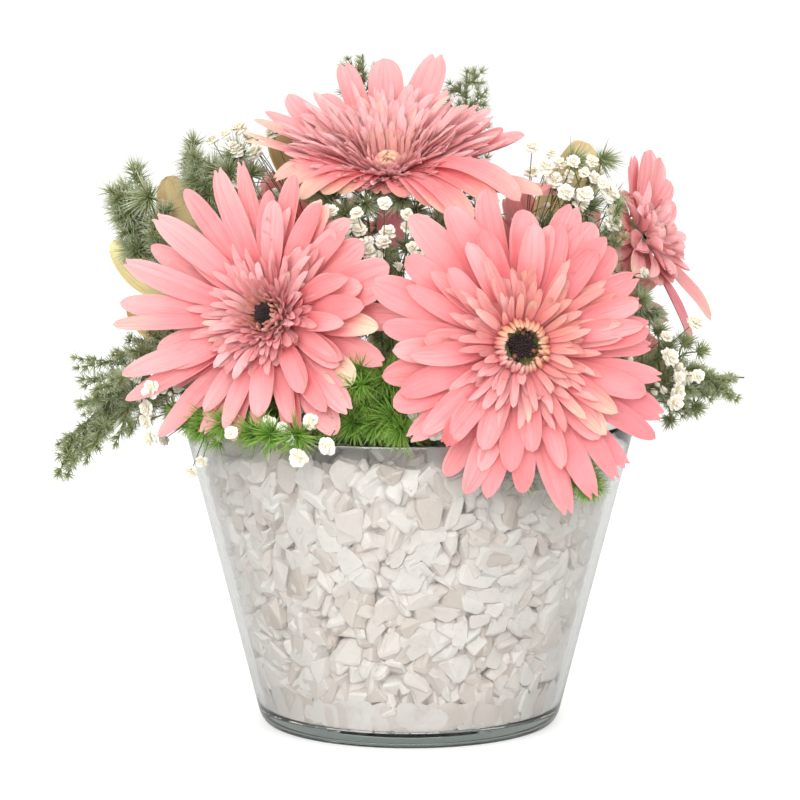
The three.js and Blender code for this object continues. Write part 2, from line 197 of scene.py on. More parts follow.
def finished(tree, shader, color, rough, bump):
    # rough: what varies the roughness and its two ends; bump: height, strength, distance
    tree.links.new(color, shader.inputs["Base Color"])
    if rough:
        value, low, high, smoothest, roughest = rough
        tree.links.new(remap(tree, value, low, high, smoothest, roughest), shader.inputs["Roughness"])
    height, strength, distance = bump
    inputs = {"Height": height, "Strength": strength, "Distance": distance}
    tree.links.new(addNode(tree, "ShaderNodeBump", inputs).outputs[0], shader.inputs["Normal"])


petalColors = {
    "base": rgb(243, 130, 135),
    "middle": rgb(246, 156, 159),
    "tip": rgb(250, 186, 186),
    "deep": rgb(248, 130, 134),
    "cream": rgb(246, 226, 188),
    "peach": rgb(248, 154, 120),
    "peachTip": rgb(250, 192, 150),
    "dusk": rgb(214, 132, 142),
    "pale": rgb(255, 202, 202),
}


def makePetalMaterial():
    c = petalColors
    material, tree, shader, grain = startMaterial("pinkPetal", 0.55, 60.0, 900.0, 0.3, 0.0012)
    shader.inputs["Subsurface Radius"].default_value = (1.0, 0.45, 0.4)
    shape = attribute(tree, "petalShape", "Vector")
    along = parts(tree, shape)[0]
    tone, inner, cream = parts(tree, attribute(tree, "petalTint", "Vector"))
    vein = veined(tree, shape, 11.0)
    ray = ramp(tree, along, [(0.0, c["deep"]), (0.25, c["base"]), (0.6, c["middle"]), (1.0, c["tip"])])
    # tones from 0 to 1 deepen a petal towards the base colour: its own tone, and painted shade on a head's
    # shaded side
    toned = mixed(tree, times(tree, remap(tree, tone, 0.0, 1.0), 0.7), ray, c["base"])
    # a tone from 1 to 2 turns the petal to mauve: painted shade for petals that hang in shade
    toned = mixed(tree, remap(tree, tone, 1.0, 2.0, 0.0, 0.9), toned, c["dusk"])
    toned = mixed(tree, remap(tree, tone, 0.0, -1.0, 0.0, 0.8), toned, c["pale"])
    floret = ramp(tree, along, [(0.0, c["deep"]), (0.4, c["peach"]), (0.85, c["peachTip"])])
    color = mixed(tree, inner, toned, floret)
    edge = times(tree, remap(tree, along, 0.55, 1.0), cream)
    color = mixed(tree, edge, color, c["cream"])
    color = mixed(tree, remap(tree, vein, 0.45, 0.72, 0.0, 0.5), color, c["deep"])
    color = mixed(tree, remap(tree, grain["Tone"], 0.35, 0.7, 0.0, 0.25), color, c["tip"])
    finished(tree, shader, color, (grain["Grain"], 0.3, 0.7, 0.45, 0.65), (vein, 0.8, 0.0005))
    # light falls through a petal onto the ones behind
    through = addNode(tree, "ShaderNodeBsdfTranslucent", {"Color": color}).outputs[0]
    both = addNode(tree, "ShaderNodeMixShader", {0: 0.22, 1: shader.outputs[0], 2: through}).outputs[0]
    tree.links.new(both, tree.nodes["Material Output"].inputs["Surface"])
    return material


def makeDiscMaterial():
    material, tree, shader, grain = startMaterial("darkDisc", 0.6, 400.0, 2500.0)
    stops = [(0.0, rgb(20, 12, 16)), (0.7, rgb(52, 30, 34)), (1.0, rgb(150, 96, 62))]
    budTone = ramp(tree, attribute(tree, "tone", "Fac"), stops)
    color = mixed(tree, 0.3, budTone, ramp(tree, grain["Tone"], stops))
    finished(tree, shader, color, None, (grain["Grain"], 0.4, 0.0003))
    return material


def makeStemMaterial():
    material, tree, shader, grain = startMaterial("greenStem", 0.5, 45.0, 1400.0, 0.08, 0.001)
    ridges = noise(tree, stretched(tree, objectCoords(tree), (900.0, 900.0, 60.0)), 1.0, 2.0)
    greens = [(0.3, rgb(104, 140, 66)), (0.55, rgb(134, 165, 90)), (0.8, rgb(158, 176, 112))]
    hairs = remap(tree, grain["Grain"], 0.55, 0.75, 0.0, 0.35)
    color = mixed(tree, hairs, ramp(tree, grain["Tone"], greens), rgb(205, 214, 172))
    finished(tree, shader, color, (ridges, 0.3, 0.7, 0.4, 0.6), (ridges, 0.5, 0.0003))
    return material


def makeFernMaterial(name, dark, fresh, tip):
    material, tree, shader, grain = startMaterial(name, 0.5, 70.0, 1500.0, 0.1, 0.0008)
    own = times(tree, attribute(tree, "tone", "Fac"), 0.6)
    tone = calc(tree, "ADD", own, times(tree, grain["Tone"], 0.5))
    depth = times(tree, attribute(tree, "depth", "Fac"), 0.75)
    reach = calc(tree, "ADD", depth, times(tree, tone, 0.3))
    along = ramp(tree, reach, [(0.15, dark), (0.5, fresh), (0.95, tip)])
    color = mixed(tree, remap(tree, tone, 0.5, 0.15, 0.0, 0.4), along, dark)
    finished(tree, shader, color, (grain["Grain"], 0.3, 0.7, 0.42, 0.62), (grain["Grain"], 0.3, 0.0002))
    return material


def makeBlossomMaterial():
    material, tree, shader, grain = startMaterial("creamBlossom", 0.7, 250.0, 2000.0, 0.2, 0.001)
    creams = [(0.0, rgb(206, 200, 166)), (0.45, rgb(230, 222, 202)), (1.0, rgb(244, 238, 227))]
    color = ramp(tree, attribute(tree, "depth", "Fac"), creams)
    worn = mixed(tree, remap(tree, grain["Tone"], 0.55, 0.8, 0.0, 0.25), color, rgb(232, 222, 198))
    finished(tree, shader, worn, None, (grain["Grain"], 0.4, 0.0002))
    return material


def makeLeafMaterial():
    material, tree, shader, grain = startMaterial("tanLeaf", 0.65, 55.0, 1100.0, 0.1, 0.001)
    shape = attribute(tree, "petalShape", "Vector")
    across = parts(tree, shape)[1]
    tone = parts(tree, attribute(tree, "petalTint", "Vector"))[0]
    vein = veined(tree, shape, 22.0)
    age = calc(tree, "ADD", times(tree, grain["Tone"], 0.55), times(tree, tone, 0.5))
    tans = [(0.2, rgb(116, 86, 50)), (0.45, rgb(174, 146, 98)), (0.7, rgb(214, 194, 142)),
            (0.9, rgb(238, 228, 166))]
    color = mixed(tree, remap(tree, vein, 0.5, 0.72, 0.0, 0.35), ramp(tree, age, tans), rgb(138, 108, 70))
    fromMiddle = calc(tree, "ABSOLUTE", calc(tree, "SUBTRACT", across, 0.5))
    color = mixed(tree, remap(tree, fromMiddle, 0.4, 0.5, 0.0, 0.55), color, rgb(224, 200, 132))
    finished(tree, shader, color, (grain["Grain"], 0.3, 0.7, 0.5, 0.75), (vein, 0.7, 0.0006))
    return material


def makeChipMaterial():
    material, tree, shader, grain = startMaterial("marbleChip", 0.6, 90.0, 1300.0, 0.15, 0.002)
    shader.inputs["Subsurface Radius"].default_value = (1.0, 0.85, 0.75)
    tone = attribute(tree, "tone", "Fac")
    stops = [(0.0, rgb(192, 177, 169)), (0.35, rgb(203, 192, 187)), (1.0, rgb(211, 203, 199))]
    color = ramp(tree, tone, stops)
    stain = times(tree, remap(tree, grain["Tone"], 0.55, 0.8), remap(tree, tone, 0.35, 0.0, 0.0, 0.55))
    color = mixed(tree, stain, color, rgb(172, 144, 120))
    crystal = noise(tree, objectCoords(tree), 420.0, 2.0)
    color = mixed(tree, remap(tree, crystal, 0.5, 0.7, 0.0, 0.25), color, rgb(184, 174, 168))
    finished(tree, shader, color, (grain["Grain"], 0.35, 0.7, 0.45, 0.75), (grain["Grain"], 0.3, 0.0003))
    return material


def makeFoamMaterial():
    material, tree, shader, grain = startMaterial("wetFoam", 0.8, 60.0, 1800.0)
    voronoi = {"Vector": objectCoords(tree), "Scale": 1100.0}
    poresAndShade = addNode(tree, "ShaderNodeTexVoronoi", voronoi).outputs["Distance"]
    color = ramp(tree, grain["Tone"], [(0.3, rgb(58, 78, 54)), (0.7, rgb(88, 108, 80))])
    # the pores are darkened: painted shade in the hollows, which also sink in the bump
    color = mixed(tree, remap(tree, poresAndShade, 0.5, 0.15, 0.0, 0.6), color, rgb(30, 42, 30))
    finished(tree, shader, color, (grain["Grain"], 0.3, 0.7, 0.6, 0.9), (poresAndShade, 0.8, 0.0006))
    return material


def makeGlassMaterial():
    material, tree, shader = newMaterial(
        "clearGlass", Roughness=0.0, Transmission_Weight=1.0, IOR=1.5, Metallic=0.0)
    grain = grained(tree, 25.0, 300.0)
    height = parts(tree, objectCoords(tree))[2]
    tints = [(0.0, rgb(232, 240, 238)), (1.0, rgb(250, 252, 251))]
    tree.links.new(ramp(tree, remap(tree, height, 0.0, 9 * mm), tints), shader.inputs["Base Color"])
    tree.links.new(remap(tree, grain["Tone"], 0.35, 0.7, 0.0, 0.03), shader.inputs["Roughness"])
    clear = addNode(tree, "ShaderNodeBsdfTransparent", {"Color": (0.93, 0.95, 0.945, 1.0)}).outputs[0]
    shadowRay = addNode(tree, "ShaderNodeLightPath").outputs["Is Shadow Ray"]
    both = addNode(tree, "ShaderNodeMixShader", {0: shadowRay, 1: shader.outputs[0], 2: clear}).outputs[0]
    tree.links.new(both, tree.nodes["Material Output"].inputs["Surface"])
    depth = {"Color": (0.815, 0.832, 0.824, 1.0), "Density": 54.0}
    absorbed = addNode(tree, "ShaderNodeVolumeAbsorption", depth).outputs[0]
    tree.links.new(absorbed, tree.nodes["Material Output"].inputs["Volume"])
    return material


petalMaterial = makePetalMaterial()
discMaterial = makeDiscMaterial()
stemMaterial = makeStemMaterial()
brightFern = makeFernMaterial("brightFern", rgb(66, 96, 30), rgb(106, 152, 52), rgb(150, 184, 92))
greyFern = makeFernMaterial("greyFern", rgb(82, 94, 50), rgb(130, 145, 94), rgb(200, 204, 182))
blossomMaterial = makeBlossomMaterial()
leafMaterial = makeLeafMaterial()
chipMaterial = makeChipMaterial()
foamMaterial = makeFoamMaterial()
glassMaterial = makeGlassMaterial()
print("materials made")


class Sheaf:
    # petals, bracts or leaf blades gathered into one mesh
    def __init__(self):
        self.points, self.faces, self.shapes, self.tints, self.rims = [], [], [], [], []
        self.count = 0

    def add(self, points, faces, shape, tint, rim):
        self.points.append(points)
        self.faces.append(faces + self.count)
        self.shapes.append(shape)
        self.tints.append(np.tile(tint, (len(points), 1)))
        self.rims.append(rim)
        self.count += len(points)

    def toObject(self, name, material):
        mesh = bpy.data.meshes.new(name)
        points = np.concatenate(self.points)
        faces = np.concatenate(self.faces)
        mesh.from_pydata(points.tolist(), [], faces.tolist())
        rim = np.concatenate(self.rims)
        edges = np.empty(2 * len(mesh.edges), dtype=np.int32)
        mesh.edges.foreach_get("vertices", edges)
        sharp = rim[edges.reshape(-1, 2)].all(axis=1)
        mesh.attributes.new("sharp_edge", "BOOLEAN", "EDGE").data.foreach_set("value", sharp)
        for label, values in (("petalShape", self.shapes), ("petalTint", self.tints)):
            layer = mesh.attributes.new(label, "FLOAT_VECTOR", "POINT")
            layer.data.foreach_set("vector", np.concatenate(values).astype(np.float32).ravel())
        mesh.materials.append(material)
        mesh.shade_smooth()
        return link(name, mesh)


def link(name, mesh):
    obj = bpy.data.objects.new(name, mesh)
    bpy.context.scene.collection.objects.link(obj)
    return obj


def linkShape(name, shape):
    mesh = bpy.data.meshes.new(name)
    shape.to_mesh(mesh)
    shape.free()
    return link(name, mesh)


gridCache = {}


def bladeGrid(rows, columns):
    # faces of a closed thin blade: the upper side, and a lower side that shares its rim
    if (rows, columns) not in gridCache:
        upper = np.arange(rows * columns).reshape(rows, columns)
        lower = upper.copy()
        inside = np.arange((rows - 2) * (columns - 2)).reshape(rows - 2, columns - 2)
        lower[1:-1, 1:-1] = inside + rows * columns
        quads = []
        for side, turned in ((upper, False), (lower, True)):
            a, b, c, d = side[:-1, :-1], side[1:, :-1], side[1:, 1:], side[:-1, 1:]
            order = (a, b, c, d) if not turned else (a, d, c, b)
            quads.append(np.stack([corner.ravel() for corner in order], axis=1))
        rim = np.ones((rows, columns), dtype=bool)
        rim[1:-1, 1:-1] = False
        rim = np.concatenate([rim.ravel(), np.zeros(inside.size, dtype=bool)])
        gridCache[(rows, columns)] = (np.concatenate(quads), rim)
    return gridCache[(rows, columns)]


def smooth(x, low, high):
    t = np.clip((x - low) / (high - low), 0, 1)
    return t * t * (3 - 2 * t)


def bladeWidth(u, base, widest, point, blunt):
    rising = base + (1 - base) * smooth(u, 0, widest)
    left = np.clip((u - widest) / (1 - widest), 0, 1)
    return rising * np.maximum(1 - left ** point, blunt) ** 0.5


# crowding: how much closer rows and columns stand towards the tip and the edges; the rest is
# where along or across the blade a curl, a groove, a wave or a notch sits, and how wide it is
bladeForm = {
    "tipCrowding": 1.35, "edgeCrowding": 0.85, "curlFrom": 0.7, "grooveAt": 0.4, "grooveWidth": 0.16,
    "waves": 9, "waveShift": 2.2, "waveFrom": 0.15, "waveFull": 0.6, "notchWidth": 0.35, "notchFrom": 0.86,
}


# One thin blade that starts at the origin and runs outwards along +X. length is the straight
# distance to its tip, rise the tip's angle, bend and curl in degrees.
def bladePoints(length, width, rise, rows=14, columns=9, bend=10, curl=0, cup=0.22, twist=0, sway=0,
                groove=0.035, wave=0.0, wavePhase=0.0, thick=0.5 * mm, base=0.42, widest=0.58, point=2.6,
                blunt=0.004, notch=0.0):
    f = bladeForm
    u = 1 - (1 - np.linspace(0, 1, rows)) ** f["tipCrowding"]
    side = np.linspace(-1, 1, columns)
    v = np.sign(side) * np.abs(side) ** f["edgeCrowding"]
    fine = np.linspace(0, 1, 60)
    heading = np.radians(bend * (0.5 - fine) + curl * smooth(fine, f["curlFrom"], 1.0))
    steps = np.diff(fine)
    middle = (heading[1:] + heading[:-1]) / 2
    x = np.concatenate([[0], np.cumsum(np.cos(middle) * steps)])
    z = np.concatenate([[0], np.cumsum(np.sin(middle) * steps)])
    scale = length / math.hypot(x[-1], z[-1])
    turn = math.radians(rise) - math.atan2(z[-1], x[-1])
    px = scale * (x * math.cos(turn) - z * math.sin(turn))
    pz = scale * (x * math.sin(turn) + z * math.cos(turn))
    px, pz, angle = np.interp(u, fine, px), np.interp(u, fine, pz), np.interp(u, fine, heading) + turn
    along = np.stack([np.cos(angle), 0 * angle, np.sin(angle)], axis=1)
    up = np.stack([-np.sin(angle), 0 * angle, np.cos(angle)], axis=1)
    across = np.tile([0.0, 1.0, 0.0], (rows, 1))
    spin = np.radians(twist) * u[:, None]
    across, up = across * np.cos(spin) + up * np.sin(spin), up * np.cos(spin) - across * np.sin(spin)
    half = 0.5 * width * bladeWidth(u, base, widest, point, blunt)
    uu, vv = np.meshgrid(u, v, indexing="ij")
    inGroove = np.exp(-(((np.abs(vv) - f["grooveAt"]) / f["grooveWidth"]) ** 2))
    ripple = np.sin(f["waves"] * uu + wavePhase + f["waveShift"] * vv)
    lift = cup * half[:, None] * vv ** 2
    lift = lift - groove * width * np.sin(np.pi * uu) ** 0.5 * inGroove
    lift = lift + wave * width * ripple * vv ** 2 * smooth(uu, f["waveFrom"], f["waveFull"])
    centre = np.stack([px, sway * length * u * (1 - u) * 2, pz], axis=1)
    top = centre[:, None] + across[:, None] * (half[:, None] * vv)[..., None]
    top = top + up[:, None] * lift[..., None]
    cut = notch * np.exp(-(vv / f["notchWidth"]) ** 2) * smooth(uu, f["notchFrom"], 1.0)
    top = top - along[:, None] * cut[..., None]
    depth = thick * (1 - np.abs(vv) ** 3) * np.minimum(1, 0.4 + 3 * (1 - uu))
    low = top - up[:, None] * depth[..., None]
    points = np.concatenate([top.reshape(-1, 3), low[1:-1, 1:-1].reshape(-1, 3)])
    shape = np.stack([uu, (vv + 1) / 2, 0 * uu], axis=-1)
    shape = np.concatenate([shape.reshape(-1, 3), shape[1:-1, 1:-1].reshape(-1, 3)])
    return points, shape


def turnedAbout(points, clock):
    c, s = math.cos(clock), math.sin(clock)
    return points @ np.array([[c, s, 0], [-s, c, 0], [0, 0, 1]])


def smoothPath(points, count):
    # centripetal curve through the points, evenly spaced along its length
    points = np.array(points, dtype=float)
    padded = np.vstack([2 * points[0] - points[1], points, 2 * points[-1] - points[-2]])
    samples = []

    def blend(t, low, high, first, second):
        return (high - t) / (high - low) * first + (t - low) / (high - low) * second

    for i in range(len(points) - 1):
        p = padded[i:i + 4]
        gaps = np.linalg.norm(np.diff(p, axis=0), axis=1)
        knots = np.concatenate([[0], np.cumsum(np.maximum(gaps, 1e-9) ** 0.5)])
        t = np.linspace(knots[1], knots[2], 24, endpoint=i == len(points) - 2)[:, None]
        a = [blend(t, knots[k], knots[k + 1], p[k], p[k + 1]) for k in range(3)]
        b = [blend(t, knots[k], knots[k + 2], a[k], a[k + 1]) for k in range(2)]
        samples.append(blend(t, knots[1], knots[2], b[0], b[1]))
    line = np.vstack(samples)
    length = np.concatenate([[0], np.cumsum(np.linalg.norm(np.diff(line, axis=0), axis=1))])
    even = np.linspace(0, length[-1], count)
    return np.stack([np.interp(even, length, line[:, k]) for k in range(3)], axis=1)


def unit(vector):
    return np.array(vector, dtype=float) / np.linalg.norm(vector)


foamTop, stemInserted, stemStraight, stemFocus = 112 * mm, 26 * mm, 7 * mm, 12 * mm


def stemPoints(exitAt, *rest):
    # pushed into the foam, straight out at exitAt, then on through the rest
    out = np.array([exitAt[0] * mm, exitAt[1] * mm, foamTop])
    outward = unit(out - [0, 0, stemFocus])
    return [out - stemInserted * outward, out, out + stemStraight * outward, *rest]


def newGeometryTree(name, inputs):
    tree = bpy.data.node_groups.new(name, "GeometryNodeTree")
    tree.interface.new_socket("Geometry", in_out="INPUT", socket_type="NodeSocketGeometry")
    for label, kind in inputs:
        tree.interface.new_socket(label, in_out="INPUT", socket_type=kind)
    tree.interface.new_socket("Geometry", in_out="OUTPUT", socket_type="NodeSocketGeometry")
    return tree, tree.nodes.new("NodeGroupInput").outputs, tree.nodes.new("NodeGroupOutput").inputs


fullTurn = 6.283


def namedValue(tree, name, kind="FLOAT"):
    inputs = {"Name": name}
    return addNode(tree, "GeometryNodeInputNamedAttribute", inputs, data_type=kind).outputs["Attribute"]


def randomValue(tree, low, high, seed):
    inputs = {2: low, 3: high, "Seed": seed}
    return addNode(tree, "FunctionNodeRandomValue", inputs, data_type="FLOAT").outputs[1]


def withMaterial(tree, geometry, given, out):
    material = {0: geometry, "Material": given["Finish"]}
    tree.links.new(addNode(tree, "GeometryNodeSetMaterial", material).outputs[0], out[0])


def makeSweepTree():
    # a round rod along every line, as thick as the line's "thickness" says
    tree, given, out = newGeometryTree("sweptStem", [
        ("Sides", "NodeSocketInt"),
        ("Finish", "NodeSocketMaterial"),
    ])
    curve = addNode(tree, "GeometryNodeMeshToCurve", {0: given["Geometry"]}).outputs[0]
    circle = {"Resolution": given["Sides"], "Radius": 1.0}
    ring = addNode(tree, "GeometryNodeCurvePrimitiveCircle", circle).outputs[0]
    sweep = {"Curve": curve, "Profile Curve": ring, "Scale": namedValue(tree, "thickness"), "Fill Caps": True}
    swept = addNode(tree, "GeometryNodeCurveToMesh", sweep).outputs[0]
    real = addNode(tree, "GeometryNodeRealizeInstances", {0: swept}).outputs[0]
    withMaterial(tree, addNode(tree, "GeometryNodeSetShadeSmooth", {0: real}).outputs[0], given, out)
    return tree


scatterInputs = [
    ("Shapes", "NodeSocketCollection"),
    ("Smallest", "NodeSocketFloat"),
    ("Largest", "NodeSocketFloat"),
    ("Seed", "NodeSocketInt"),
    ("Finish", "NodeSocketMaterial"),
]


def scattered(tree, given, turned, sizeSeed, pickSeed):
    # one of the shapes on every point, as big as the point's "size" says
    whole = {0: given["Shapes"], 1: True, 2: True}
    shapes = addNode(tree, "GeometryNodeCollectionInfo", whole).outputs[0]
    spread = randomValue(tree, given["Smallest"], given["Largest"], sizeSeed)
    which = {"Seed": pickSeed, 4: 0, 5: 1000}
    placed = addNode(tree, "GeometryNodeInstanceOnPoints", {
        "Points": given["Geometry"],
        "Instance": shapes,
        "Pick Instance": True,
        "Instance Index": addNode(tree, "FunctionNodeRandomValue", which, data_type="INT").outputs[2],
        "Rotation": turned,
        "Scale": times(tree, namedValue(tree, "size"), spread),
    }).outputs[0]
    return addNode(tree, "GeometryNodeRealizeInstances", {0: placed}).outputs[0]


def makeScatterTree():
    # scattered shapes that point along each point's "aim"
    tree, given, out = newGeometryTree("scatteredShapes", scatterInputs)
    seeds = [calc(tree, "ADD", given["Seed"], k) for k in (1.0, 2.0, 3.0)]
    aim = {"Vector": namedValue(tree, "aim", "FLOAT_VECTOR")}
    aimed = addNode(tree, "FunctionNodeAlignRotationToVector", aim, axis="Z").outputs[0]
    spin = addNode(tree, "ShaderNodeCombineXYZ", {2: randomValue(tree, 0.0, fullTurn, seeds[0])}).outputs[0]
    turn = {0: aimed, 1: spin}
    turned = addNode(tree, "FunctionNodeRotateRotation", turn, rotation_space="LOCAL").outputs[0]
    withMaterial(tree, scattered(tree, given, turned, seeds[1], seeds[2]), given, out)
    return tree


def makeChipTree():
    # scattered stones, pressed flat where they meet the glass, the foam or the vase's floor
    tree, given, out = newGeometryTree("marbleChips", scatterInputs + [
        ("Foot Radius", "NodeSocketFloat"),
        ("Slope", "NodeSocketFloat"),
        ("Foam Radius", "NodeSocketFloat"),
        ("Floor", "NodeSocketFloat"),
    ])
    seed = given["Seed"]
    angles = [randomValue(tree, 0.0, fullTurn, calc(tree, "ADD", seed, k)) for k in (1.0, 2.0, 3.0)]
    spin = addNode(tree, "ShaderNodeCombineXYZ", dict(enumerate(angles))).outputs[0]
    stones = scattered(tree, given, spin, seed, seed)
    x, y, z = parts(tree, addNode(tree, "GeometryNodeInputPosition").outputs[0])
    radius = calc(tree, "SQRT", calc(tree, "ADD", times(tree, x, x), times(tree, y, y)))
    height = calc(tree, "MAXIMUM", z, given["Floor"])
    glass = calc(tree, "ADD", given["Foot Radius"], times(tree, height, given["Slope"]))
    glass = calc(tree, "SUBTRACT", glass, namedValue(tree, "inset"))
    kept = calc(tree, "MINIMUM", calc(tree, "MAXIMUM", radius, given["Foam Radius"]), glass)
    share = calc(tree, "DIVIDE", kept, calc(tree, "MAXIMUM", radius, 1e-5))
    place = {0: times(tree, x, share), 1: times(tree, y, share), 2: height}
    moved = {0: stones, "Position": addNode(tree, "ShaderNodeCombineXYZ", place).outputs[0]}
    withMaterial(tree, addNode(tree, "GeometryNodeSetPosition", moved).outputs[0], given, out)
    return tree


sweepTree, scatterTree, chipTree = makeSweepTree(), makeScatterTree(), makeChipTree()


def grow(name, points, edges, layers, tree, inputs):
    # runs a tree on points that carry the layers, and keeps the result as a plain mesh
    source = bpy.data.meshes.new(name + "Source")
    source.from_pydata([tuple(p) for p in points], edges, [])
    for label, values in layers.items():
        values = np.asarray(values, dtype=np.float32)
        kind = ("FLOAT_VECTOR", "vector") if values.ndim == 2 else ("FLOAT", "value")
        source.attributes.new(label, kind[0], "POINT").data.foreach_set(kind[1], values.ravel())
    carrier = link(name + "Source", source)
    modifier = carrier.modifiers.new("grow", "NODES")
    modifier.node_group = tree
    for item in tree.interface.items_tree:
        if item.in_out == "INPUT" and item.name in inputs:
            modifier[item.identifier] = inputs[item.name]
    evaluated = carrier.evaluated_get(bpy.context.evaluated_depsgraph_get())
    mesh = bpy.data.meshes.new_from_object(evaluated)
    bpy.data.objects.remove(carrier)
    return link(name, mesh)


def scatter(name, places, layers, shapes, smallest, largest, seed, material):
    return grow(name, places, [], layers, scatterTree, {
        "Shapes": shapes, "Smallest": smallest, "Largest": largest, "Seed": seed, "Finish": material})


def sweepLines(name, lines, material, sides=6):
    # lines: (points, thickness at the start, thickness at the end)
    points, edges, thickness, tone = [], [], [], []
    for line, first, last in lines:
        start = len(points)
        points.extend(line)
        edges.extend((start + i, start + i + 1) for i in range(len(line) - 1))
        thickness.extend(np.linspace(first, last, len(line)))
        tone.extend([0.35] * len(line))
    layers = {"thickness": thickness, "tone": tone}
    return grow(name, points, edges, layers, sweepTree, {"Sides": sides, "Finish": material})


def joinPieces(name, pieces):
    for piece in pieces:
        piece.data.update()
    chosen = {"object": pieces[0], "active_object": pieces[0], "selected_objects": pieces}
    with bpy.context.temp_override(selected_editable_objects=pieces, **chosen):
        bpy.ops.object.join()
    pieces[0].name = name
    pieces[0].data.name = name
    return pieces[0]


def templates(name, objects):
    collection = bpy.data.collections.new(name)
    for obj in objects:
        collection.objects.link(obj)
        bpy.context.scene.collection.objects.unlink(obj)
    return collection


boxLow, boxHigh = np.array(cadBox)


def keepInBox(piece):
    # tips that would stand out of the part's own box end on its side
    points = np.empty(3 * len(piece.data.vertices), dtype=np.float32)
    piece.data.vertices.foreach_get("co", points)
    inside = np.clip(points.reshape(-1, 3), boxLow + 0.05 * mm, boxHigh - 0.05 * mm)
    piece.data.vertices.foreach_set("co", inside.astype(np.float32).ravel())
    piece.data.update()


def finishPiece(piece, slotName, *nodes):
    if slotName not in ("clear_glass", "marble_chips"):
        keepInBox(piece)
    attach(piece, "root")
    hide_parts(*nodes)


vase = {
    "height": 116 * mm, "rimRadius": 85 * mm, "footRadius": 52 * mm, "heelRadius": 57.5 * mm,
    "heelHeight": 7 * mm, "wall": 2.6 * mm, "floor": 6 * mm, "floorRound": 3 * mm, "punt": 0.8 * mm,
    "sides": 160,
}


def innerRadius(z):
    rise = (z - vase["heelHeight"]) / (vase["height"] - vase["heelHeight"])
    return vase["heelRadius"] + (vase["rimRadius"] - vase["heelRadius"]) * rise - vase["wall"]


def latheMesh(name, profile, sides, material):
    # profile runs from the axis to the axis again, outside first; the poles are single points
    ring = [p for p in profile if p[0] > 0]
    verts = [(0, 0, profile[0][1])]
    turns = [2 * math.pi * k / sides for k in range(sides)]
    for radius, z in ring:
        verts += [(radius * math.cos(turn), radius * math.sin(turn), z) for turn in turns]
    verts.append((0, 0, profile[-1][1]))
    faces = []
    for k in range(sides):
        after = (k + 1) % sides
        faces.append((0, 1 + after, 1 + k))
        for i in range(len(ring) - 1):
            low, high = 1 + i * sides, 1 + (i + 1) * sides
            faces.append((low + k, low + after, high + after, high + k))
        last = 1 + (len(ring) - 1) * sides
        faces.append((last + k, last + after, len(verts) - 1))
    mesh = bpy.data.meshes.new(name)
    mesh.from_pydata(verts, [], faces)
    mesh.materials.append(material)
    mesh.shade_smooth()
    return link(name, mesh)


def corner(start, middle, end, steps):
    # a rounded corner of the profile
    points = []
    for i in range(steps + 1):
        t = i / steps
        p, q, r = (1 - t) ** 2, 2 * t * (1 - t), t * t
        points.append(tuple(p * a + q * b + r * c for a, b, c in zip(start, middle, end)))
    return points


def makeVase():
    v = vase
    top, rim, wall, foot, heel = v["height"], v["rimRadius"], v["wall"], v["footRadius"], v["heelRadius"]
    floor, shoulder = v["floor"], v["height"] - 1.3 * mm
    roundTop = floor + v["floorRound"]
    low = innerRadius(roundTop)
    profile = [(0, v["punt"]), (foot - 9 * mm, v["punt"])]
    profile += corner((foot - 7 * mm, v["punt"]), (foot - 4 * mm, 0), (foot - 2 * mm, 0), 3)
    profile += corner((foot, 0), (heel - 1.2 * mm, 0.4 * mm), (heel, v["heelHeight"]), 8)
    for t in np.linspace(0.08, 0.96, 7):
        profile.append((heel + (rim - heel) * t, v["heelHeight"] + (shoulder - v["heelHeight"]) * t))
    profile += corner((rim - 0.3 * mm, shoulder), (rim, top), (rim - wall / 2, top), 5)
    profile += corner((rim - wall / 2, top), (rim - wall, top), (rim - wall - 0.35 * mm, shoulder), 5)[1:]
    profile += [(innerRadius(z), z) for z in np.linspace(top - 8 * mm, roundTop + 2 * mm, 7)]
    profile += corner((low, roundTop), (low - 0.6 * mm, floor), (low - v["floorRound"], floor), 6)
    profile += [(low * 0.5, floor), (0, floor)]
    return latheMesh("glassVase", profile, v["sides"], glassMaterial)


finishPiece(makeVase(), "clear_glass", "glass_vase")
print("vase made")


chips = {
    "top": 106 * mm, "bottom": 10.6 * mm, "apart": 4.6 * mm, "rings": 6.6 * mm, "fromGlass": 3.8 * mm,
    "foamRadius": 40.4 * mm, "size": 7.3 * mm, "smallest": 0.75, "largest": 1.25, "shapes": 18, "seed": 7,
    "tries": 70000, "behind": 8 * mm, "rough": 1.3 * mm, "heapSides": 84, "heapRings": 24,
    "footStones": 110, "footSize": 0.5, "onTop": 0.22, "onFloor": 0.1,
}


def makeStoneShapes():
    stones = []
    for k in range(chips["shapes"]):
        rng = np.random.default_rng(100 + k)
        stone = bmesh.new()
        stretch = np.array([1.0, rng.uniform(0.7, 0.95), rng.uniform(0.5, 0.75)])
        corners = [[x, y, z] for x in (-1, 1) for y in (-1, 1) for z in (-1, 1)]
        for point in np.array(corners) + rng.uniform(-0.6, 0.6, (8, 3)):
            stone.verts.new(Vector(0.62 * point * stretch))
        hull = bmesh.ops.convex_hull(stone, input=stone.verts)
        inside = [item for item in hull["geom_interior"] if isinstance(item, bmesh.types.BMVert)]
        bmesh.ops.delete(stone, geom=inside, context="VERTS")
        bmesh.ops.dissolve_limit(stone, angle_limit=0.3, verts=stone.verts, edges=stone.edges)
        bmesh.ops.bevel(stone, geom=stone.edges[:], offset=0.12, segments=1, affect="EDGES", profile=0.6)
        bmesh.ops.recalc_face_normals(stone, faces=stone.faces)
        stones.append(linkShape(f"stoneShape{k}", stone))
    return templates("stoneShapes", stones)


